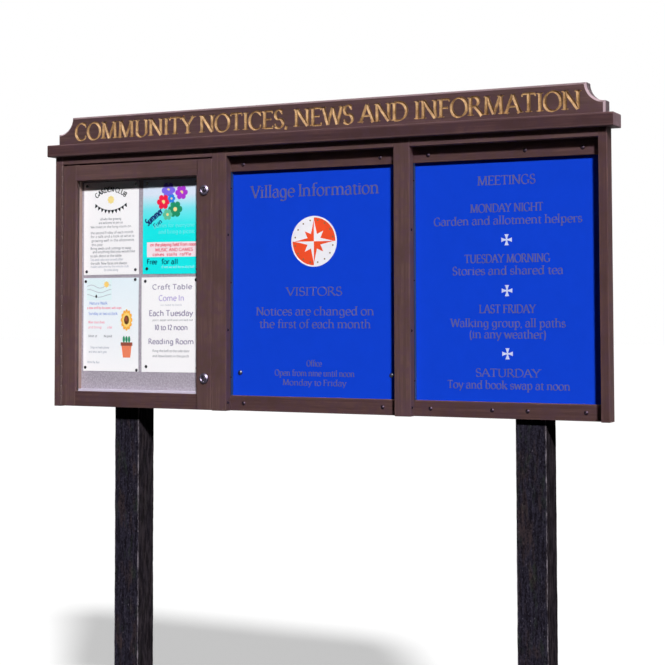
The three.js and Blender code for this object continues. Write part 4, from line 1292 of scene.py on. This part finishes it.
def boltSolid(centre, tip):
    spec = boltSpec
    circle = circleOf(spec["segments"])
    shank, washer, edge = circle * spec["shank"], circle * spec["washerRadius"], spec["edge"]
    sector = np.mod(np.linspace(0, 2 * np.pi, spec["segments"], endpoint=False), np.pi / 3) - np.pi / 6
    flat = spec["headRadius"] * np.cos(np.pi / 6)
    hexagon = circle * (flat / np.cos(sector))[:, None]
    under, top, chamfer = spec["washer"], spec["washer"] + spec["head"], flat * spec["chamfer"]
    trimmed = top - spec["cone"] * np.clip(np.linalg.norm(hexagon, axis=1) - chamfer, 0, None)
    layers = [
        (shank * 0.8, tip), (shank, tip + spec["point"]), (shank, 0.0), (washer, 0.0), (washer, under - edge),
        (washer - circle * edge, under), (hexagon, under), (hexagon, trimmed),
        (circle * chamfer, top), (circle * flat * 0.1, top),
    ]
    return lofted(layeredRings(layers, centre))


def addBackFixings():
    postBack = spanOf("left_post")[1, 1]
    for place in ("left_upper", "left_lower", "right_upper", "right_lower"):
        node = place + "_post_bolt"
        bolt = boltSolid(middleAt(node, postBack), spanOf(node)[0, 1] - postBack)
        addSolid(node + "_hex", bolt, "zinc", [node])
    screws = []
    inset, size = fixings["backInset"], fixings["backSize"]
    for bay in ("display", "middle", "right"):
        low, high = spanOf(bay + "_back_board")
        x, z = (np.linspace(low[axis] + inset, high[axis] - inset, count) for axis, count in ((0, 4), (2, 5)))
        spots = [(across, end) for across in x for end in z[[0, -1]]]
        spots += [(end, level) for level in z[1:-1] for end in x[[0, -1]]]
        screws += [screwSolid((across, high[1], level), backward, *size) for across, level in spots]
    addSolid("back_board_screws", joined(screws), "zinc")


addScrews()
addBeads()
addPanelCaps()
addBackFixings()
print("fixings made")


# Notices: sheets that curl a little off the pinboard, printed with coloured marks that follow the curl. All
# places are in millimetres from a sheet's lower left corner.
ink = {
    "black": (16, 22, 28), "grey": (128, 128, 140), "faint": (176, 180, 194), "mauve": (154, 145, 172),
    "lilac": (190, 178, 222), "navy": (24, 44, 110), "teal": (6, 66, 92), "red": (232, 60, 92),
    "rose": (240, 150, 172), "blue": (110, 138, 214), "violet": (126, 106, 236), "sky": (44, 132, 236),
    "magenta": (176, 56, 210), "crimson": (246, 36, 74), "green": (34, 146, 104), "mint": (96, 196, 158),
    "sun": (248, 226, 150), "amber": (250, 178, 66), "brown": (96, 62, 34), "clay": (240, 132, 96),
    "clayDark": (150, 80, 66), "haze": (228, 246, 250), "roseDeep": (238, 112, 140),
    "aquaPale": (170, 240, 244), "aquaSoft": (112, 238, 240), "blush": (252, 232, 240),
    "petal": (255, 214, 120), "white": (252, 250, 253), "cool": (232, 244, 252), "pale": (222, 234, 252),
    "aqua": (120, 234, 244), "turquoise": (24, 238, 238),
}
# Grounds are tones by height. Words: their place, capital height, width and ink, in heavy or plain letters.
notices = {
    "upper_left_notice": {
        "turn": 0.15, "shift": (4, 0), "curl": 1.6, "ground": {0: "white"},
        "pins": [(11, 11), (197, 15), (12, 286), (198, 287)],
        "arched": [("GARDEN CLUB", 104, 184, 82, 15, 117.6, "black")],
        "bunting": (104, 299, 92, 72, 10, 13, "black"), "sun": (104, 240, 13, "sun"),
        "plain": [
            ("all who like growing", 104, 175, 7.5, 80, "grey"),
            ("are welcome to join us", 104, 163, 7.5, 92, "grey"),
            ("We meet in the long room on", 104, 150, 7.5, 156, "grey"),
            ("the second Friday of each month", 108, 131, 8, 164, "grey"),
            ("for a talk and a look at what is", 110, 119, 8, 168, "grey"),
            ("growing well in the allotments", 111, 106, 8, 164, "grey"),
            ("this year.", 53, 93, 8, 46, "grey"),
            ("Bring seeds and cuttings to swap", 104, 81, 8, 156, "grey"),
            ("and anything that you would like", 115, 70, 8, 162, "grey"),
            ("to ask about at the table.", 86, 57, 8, 122, "grey"),
            ("Tea and cake are served after", 88, 45, 8, 126, "faint"),
            ("the talk. New faces are always", 96, 33, 8, 140, "grey"),
            ("made welcome by the whole club.", 100, 23, 7, 148, "faint"),
            ("Do come along", 105, 12, 7, 54, "faint"),
        ],
    },
    "upper_right_notice": {
        "turn": -0.25, "shift": (5, 0), "curl": 2.2,
        "ground": {0: "turquoise", 150: "turquoise", 205: "aqua", 250: "pale"},
        "pins": [(16, 17), (200, 14), (14, 286), (198, 288)],
        "slanted": [("Summer", 48, 172, 22, 70, 36, "navy"), ("Fun", 60, 152, 15, 34, 36, "navy")],
        "flowers": [
            (94, 262, 25, "violet"), (142, 254, 23, "magenta"), (76, 226, 24, "crimson"),
            (120, 202, 26, "green"), (92, 186, 18, "mint"), (106, 236, 14, "sky"),
        ],
        "boxes": [(16, 203, 53, 100, "blush")],
        "bold": [
            ("on the playing field from noon", 113, 87, 9.5, 170, "red"),
            ("MUSIC AND GAMES", 116, 71, 9.5, 138, "red"),
            ("cakes  stalls  raffle", 108, 57, 9, 142, "red"),
            ("Free", 35, 31, 15, 38, "teal"),
            ("for all", 100, 31, 15, 62, "teal"),
        ],
        "plain": [
            ("games for everyone", 116, 146, 13, 150, "aquaSoft"),
            ("and bring a picnic", 126, 126, 13, 134, "aquaSoft"),
            ("if wet we will be in the hall", 130, 18, 8, 120, "aquaPale"),
        ],
    },
    "lower_left_notice": {
        "turn": -0.1, "shift": (4, 0), "curl": 1.8, "ground": {0: "white", 297: "cool"},
        "pins": [(8, 286), (197, 291), (8, 11), (203, 5)],
        "boxes": [(12, 108, 226, 292, "haze")],
        "hills": (12, 108, 226, 58, "faint"), "tree": (49, 238, 3.4, 5.5), "sun": (88, 276, 10, "petal"),
        "plain": [
            ("Nature Walk", 58, 212, 9, 70, "blue"),
            ("a slow stroll by the water, with stops", 80, 198, 7.5, 132, "roseDeep"),
            ("Sunday at two o'clock", 76, 179, 9, 112, "blue"),
            ("Wear stout shoes", 51, 152, 8, 64, "rose"),
            ("and bring", 45, 136, 8, 52, "rose"),
            ("a hat", 102, 136, 7.5, 18, "rose"),
            ("Meet at", 37, 108, 7.5, 34, "grey"),
            ("the pond", 95, 108, 7.5, 32, "grey"),
            ("Dogs on leads please", 64, 72, 7, 72, "faint"),
            ("and shut each gate", 56, 58, 7, 70, "faint"),
            ("Home by four", 40, 25, 7, 48, "faint"),
        ],
        "sunflower": (166, 163, 22, 34),
        "pot": (166, 78, 22, 34),
    },
    "lower_right_notice": {
        "turn": 0.2, "shift": (1, 0), "curl": 1.4, "ground": {0: "white"},
        "pins": [(14, 285), (200, 287), (17, 17), (204, 14)],
        "bold": [
            ("Craft Table", 113, 259, 15, 146, "mauve"),
            ("Come In", 111, 223, 17, 94, "lilac"),
            ("Each Tuesday", 109, 176, 17, 162, "mauve"),
            ("10 to 12 noon", 110, 132, 16, 122, "mauve"),
            ("Reading Room", 109, 88, 16, 168, "mauve"),
        ],
        "plain": [
            ("no need to book", 110, 207, 6, 80, "faint"),
            ("paint, paper and wool are laid out", 115, 160, 6, 148, "grey"),
            ("Ring the bell at the side door", 109, 63, 7.5, 136, "grey"),
            ("and leave boots in the porch", 108, 47, 7.5, 134, "grey"),
        ],
    },
}
sheetSpec = {
    "columns": 44, "rows": 62, "clearance": 0.25 * mm, "thickness": 0.2 * mm, "boxSteps": 16,
    "inkLift": 0.05 * mm, "inkThickness": 0.04 * mm,
}
drawings = {
    "ovalSteps": 28, "petalPower": 0.6, "flower": (6, 0.26), "sunPetals": 8,
    "hillShares": (0.75, 0.5, 0.25), "hillSteps": 40, "hillWave": 5, "hillLength": 11, "hillLine": 0.9 * mm,
    "sunflowerPetals": [(1, 12, 0.2, "amber"), (0.72, 12, 0.15, "petal")],
    "sunflowerHeart": [(0, 0, 0.42, "brown"), (-2, 3, 0.22, "clayDark")],
    "pot": [([(-0.62, -1), (0.62, -1), (0.86, 0.1), (-0.86, 0.1)], "clay"),
            ([(-1, 0.1), (1, 0.1), (1, 0.42), (-1, 0.42)], "clayDark")],
    "leaves": [(-0.45, 0.7), (0, 0.7), (0.45, 0.7)], "leafSize": (0.2, 0.3),
}
pinSpec = {
    "neck": 2.4 * mm, "radius": 4.9 * mm, "height": 2 * mm, "edge": 0.2 * mm, "seat": 0.5 * mm,
    "lift": 0.1 * mm, "steps": 8, "segments": 28,
}


# Placer onto a sheet: the sheet stands on the pinboard, is turned a little about its middle, and bows forward
# between its pins by a quarter sine across and up, more at the side where it is pinned less
def onSheet(node):
    spec = notices[node]
    low, high = spanOf(node)
    size = (high - low)[[0, 2]]
    middle = low[[0, 2]] + np.array(spec["shift"]) * mm + size / 2
    turn = math.radians(spec["turn"])
    across, upward = spoke(turn), spoke(turn + math.pi / 2)

    def place(points, lift):
        share = np.clip(points / size, 0, 1)
        bow = np.sin(np.pi * share[..., 1]) * (0.35 + 0.65 * share[..., 0] ** 2)
        bow = bow + 0.5 * np.sin(np.pi * share[..., 0]) * (1 - 0.4 * np.sin(3 * np.pi * share[..., 1]))
        offset = points - size / 2
        flat = middle + offset[..., :1] * across + offset[..., 1:] * upward
        depth = high[1] - sheetSpec["clearance"] - spec["curl"] * mm * bow - lift
        return np.stack([flat[..., 0], depth * np.ones(flat.shape[:-1]), flat[..., 1]], -1)

    return place, size


# Strokes moved by millimetres
def moved(strokes, x, y):
    return [(points + np.array([x, y]) * mm, half) for points, half in strokes]


# Words bent onto a circle about (x, y): a point's distance along the line becomes its turn round the circle
def archedStrokes(strokes, radius, x, y):
    return moved([
        ((radius + points[:, 1:]) * spoke(points[:, 0] / radius)[:, ::-1], half) for points, half in strokes
    ], x, y)


# Words turned about their middle
def slantedStrokes(strokes, degrees, x, y):
    turn = math.radians(degrees)
    spin = np.stack([spoke(turn), spoke(turn + math.pi / 2)])
    return moved([(points @ spin, half) for points, half in strokes], x, y)


def ovalOutline(x, y, radiusX, radiusY):
    return (np.array([x, y]) + circleOf(drawings["ovalSteps"]) * [radiusX, radiusY]) * mm


# Petals: the radius swells and shrinks a few times round
def petalOutline(x, y, radius, petals, depth=0.28, steps=60, squeeze=1.0):
    turn = np.linspace(0, 2 * np.pi, steps, endpoint=False)
    reach = radius * (1 - depth + depth * np.abs(np.cos(petals * turn / 2)) ** drawings["petalPower"])
    return (np.array([x, y]) + reach[:, None] * circleOf(steps) * [squeeze, 1]) * mm


# A rectangle in fine squares, so that it follows the curl of its sheet
def boxPatch(edges, place, lift, thick):
    x0, x1, y0, y1 = edges
    steps = sheetSpec["boxSteps"]
    x, y = np.meshgrid(np.linspace(x0, x1, steps) * mm, np.linspace(y0, y1, steps) * mm)
    return thickened(place(np.stack([x, y], -1), lift + thick), (0, thick, 0))


# The marks on one sheet, in the order in which they are printed: what makes each solid, its shape and its ink
def noticeMarks(spec):
    marks = []

    def lay(outline, colour):
        marks.append((plateSolid, outline, colour))

    def write(strokes, colour):
        marks.append((flatStrokes, strokes, colour))

    for *edges, colour in spec.get("boxes", []):
        marks.append((boxPatch, edges, colour))
    petals, heart = drawings["flower"]
    for x, y, radius, colour in spec.get("flowers", []):
        lay(petalOutline(x, y, radius, petals), colour)
        lay(ovalOutline(x, y, radius * heart, radius * heart), "sun")
    if "hills" in spec:
        x0, x1, foot, height, colour = spec["hills"]
        x = np.linspace(x0 + 2, x1 - 2, drawings["hillSteps"])
        for number, share in enumerate(drawings["hillShares"]):
            swell = drawings["hillWave"] * np.sin((x - x0) / (drawings["hillLength"] + 3 * number) + number)
            points = np.stack([x, foot + height * share + swell], -1) * mm
            write([(points, np.full(len(x), drawings["hillLine"]))], colour)
        lay(ovalOutline(*spec["tree"]), "black")
    if "bunting" in spec:
        x, y, radius, spread, count, size, colour = spec["bunting"]
        for angle in np.radians(np.linspace(-spread / 2, spread / 2, count)):
            aside, down = spoke(angle), spoke(angle - math.pi / 2)
            top = np.array([x, y]) + radius * down
            lay(np.array([top - aside * size / 2, top + down * size, top + aside * size / 2]) * mm, colour)
    if "sun" in spec:
        x, y, radius, colour = spec["sun"]
        lay(petalOutline(x, y, radius, drawings["sunPetals"]), colour)
    for words, x, y, radius, capital, width, colour in spec.get("arched", []):
        write(archedStrokes(wordStrokes(words, capital * mm, width * mm, "bold"), radius * mm, x, y), colour)
    for words, x, y, capital, width, degrees, colour in spec.get("slanted", []):
        write(slantedStrokes(wordStrokes(words, capital * mm, width * mm, "bold"), degrees, x, y), colour)
    for style in ("bold", "plain"):
        for words, x, y, capital, width, colour in spec.get(style, []):
            write(moved(wordStrokes(words, capital * mm, width * mm, style), x, y), colour)
    if "sunflower" in spec:
        x, y, wide, tall = spec["sunflower"]
        for share, petals, depth, colour in drawings["sunflowerPetals"]:
            lay(petalOutline(x, y, tall * share, petals, depth, petals * 8, wide / tall), colour)
        for aside, upward, share, colour in drawings["sunflowerHeart"]:
            lay(ovalOutline(x + aside, y + upward, wide * share, tall * share), colour)
    if "pot" in spec:
        x, y, wide, tall = spec["pot"]
        for shape, colour in drawings["pot"]:
            lay((np.array([x, y]) + np.array(shape) * [wide, tall]) * mm, colour)
        for aside, upward in drawings["leaves"]:
            width, height = drawings["leafSize"]
            lay(ovalOutline(x + aside * wide, y + upward * tall, wide * width, tall * height), "green")
    return marks


def sheetColours(ground, rise):
    tones = np.array([screenColour(*ink[name]) for name in ground.values()])
    channels = [np.interp(rise, list(ground), tones[:, channel]) for channel in range(3)]
    return np.stack([*channels, np.ones_like(rise)], -1)


def addNotices():
    pins = []
    dome = domeProfile(pinSpec["radius"], pinSpec["height"], pinSpec["steps"], pinSpec["seat"])
    profile = np.concatenate([[(pinSpec["neck"], 0), (pinSpec["radius"], pinSpec["edge"])], dome])
    for node, spec in notices.items():
        place, size = onSheet(node)
        x, y = np.meshgrid(np.linspace(0, size[0], sheetSpec["columns"] + 1),
                           np.linspace(0, size[1], sheetSpec["rows"] + 1))
        sheet = thickened(place(np.stack([x, y], -1), 0), (0, sheetSpec["thickness"], 0))
        colours = np.tile(sheetColours(spec["ground"], y.ravel() / mm), (2, 1))
        addSolid(node + "_sheet", sheet, "paper", [node], inks=colours)

        solids, colours = [], []
        for number, (makeSolid, shape, colour) in enumerate(noticeMarks(spec)):
            lift = sheetSpec["inkLift"] + number * planeStep
            solids.append(makeSolid(shape, place, lift, sheetSpec["inkThickness"]))
            colours.append(np.tile((*screenColour(*ink[colour]), 1.0), (len(solids[-1][0]), 1)))
        addSolid(node + "_print", joined(solids), "ink", inks=np.concatenate(colours))

        for head in place(np.array(spec["pins"]) * mm, pinSpec["lift"]):
            pins.append(turnedSolid(profile, head, forward, pinSpec["segments"]))
    addSolid("drawing_pins", joined(pins), "pin")


addNotices()
print("notices made")

# CAD nodes that keep their own shape and slot, by finish
plainNodes = {
    "back": ["display_back_board", "middle_back_board", "right_back_board"],
    "felt": ["pinboard"],
    "zinc": ["upper_keep", "lower_keep", "upper_lock_nut", "lower_lock_nut",
             "upper_lock_cam", "lower_lock_cam"],
    "pane": ["door_glazing"],
}


def paintNodes():
    for finish, nodes in plainNodes.items():
        for node in nodes:
            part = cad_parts[node]
            for place in part.material_slots:
                place.material = finishes[finish]
            if not part.material_slots:
                part.data.materials.append(finishes[finish])


paintNodes()
print("kept nodes painted")


# Stage: a pale floor, a sun in front on the right, a soft lamp from behind for the back, and a pale sky
stageSpec = {
    "floorSize": 120, "floorBounce": 0.012, "floorSeen": 0.62, "floorGlow": 0.4,
    "sunFrom": (0.69, -1.0, 0.84), "sunStrength": 4.4, "sunAngle": 5.0,
    "backFrom": (-0.45, 1.0, 0.55), "backStrength": 1.7, "backAngle": 40.0,
    "skyForDiffuse": 0.008, "skySeen": 1.0, "skyReflectedLow": 0.14, "horizon": (-0.05, 0.55),
    "haze": 30.0, "hazeFrom": 0.8, "hazeTo": 0.98,   # bright sky round the sun, as metal shows it
}


def addSun(name, direction, strength, angle):
    lamp = bpy.data.lights.new(name, "SUN")
    lamp.energy = strength
    lamp.angle = math.radians(angle)
    sun = bpy.data.objects.new(name, lamp)
    sun.rotation_euler = Vector(direction).to_track_quat("Z", "Y").to_euler()
    scene.collection.objects.link(sun)


# 1 for rays from the camera, and for those that metal and glass send on, and 0 for the light that fills
# shadows
def seenDirectly(recipe, kinds=("Is Camera Ray", "Is Glossy Ray", "Is Transmission Ray")):
    path = recipe.node("ShaderNodeLightPath")
    total = sum(Wire(recipe, path.outputs[kind]) for kind in kinds)
    return total.sum("MINIMUM", total, 1.0)


def makeFloor(spec):
    mesh = bpy.data.meshes.new("paleFloor")
    half = spec["floorSize"] / 2
    corners = [(-half, -half, 0), (half, -half, 0), (half, half, 0), (-half, half, 0)]
    mesh.from_pydata(corners, [], [range(4)])
    floor = bpy.data.objects.new("paleFloor", mesh)
    scene.collection.objects.link(floor)
    recipe = newRecipe("paleFloor")
    seen = seenDirectly(recipe)
    bounce, pale, glow = ((spec[key],) * 3 for key in ("floorBounce", "floorSeen", "floorGlow"))
    emission = recipe.blend((0.0, 0.0, 0.0), glow, seen)
    mesh.materials.append(recipe.surface(recipe.blend(bounce, pale, seen), 1.0, 0.0, Emission_Color=emission,
                                         Emission_Strength=1.0))


def makeSky(spec):
    world = bpy.data.worlds.new("paleSky")
    scene.world = world
    sky = Recipe(world)
    seen, reflected = seenDirectly(sky), seenDirectly(sky, ("Is Glossy Ray",))
    direction = sky.wire("ShaderNodeTexCoord", output="Generated")
    upward = sky.wire("ShaderNodeSeparateXYZ", None, {"Vector": direction}, "Z")
    height = sky.rise(upward, *spec["horizon"])
    dimmed = 1 - reflected * (1 - spec["skyReflectedLow"]) * (1 - height)
    strength = (seen * (spec["skySeen"] - spec["skyForDiffuse"]) + spec["skyForDiffuse"]) * dimmed
    sunward = tuple(Vector(spec["sunFrom"]).normalized())
    ends = {0: direction, 1: sunward}
    nearness = sky.wire("ShaderNodeVectorMath", {"operation": "DOT_PRODUCT"}, ends, "Value")
    strength = strength + reflected * sky.rise(nearness, spec["hazeFrom"], spec["hazeTo"]) * spec["haze"]
    shader = sky.wire("ShaderNodeBackground", None, {"Color": (1.0, 1.0, 1.0), "Strength": strength})
    sky.node("ShaderNodeOutputWorld", None, {"Surface": shader})


makeFloor(stageSpec)
for lampName, side in (("sunOverRightShoulder", "sun"), ("softLampBehind", "back")):
    addSun(lampName, *(stageSpec[side + key] for key in ("From", "Strength", "Angle")))
makeSky(stageSpec)
print("stage made")
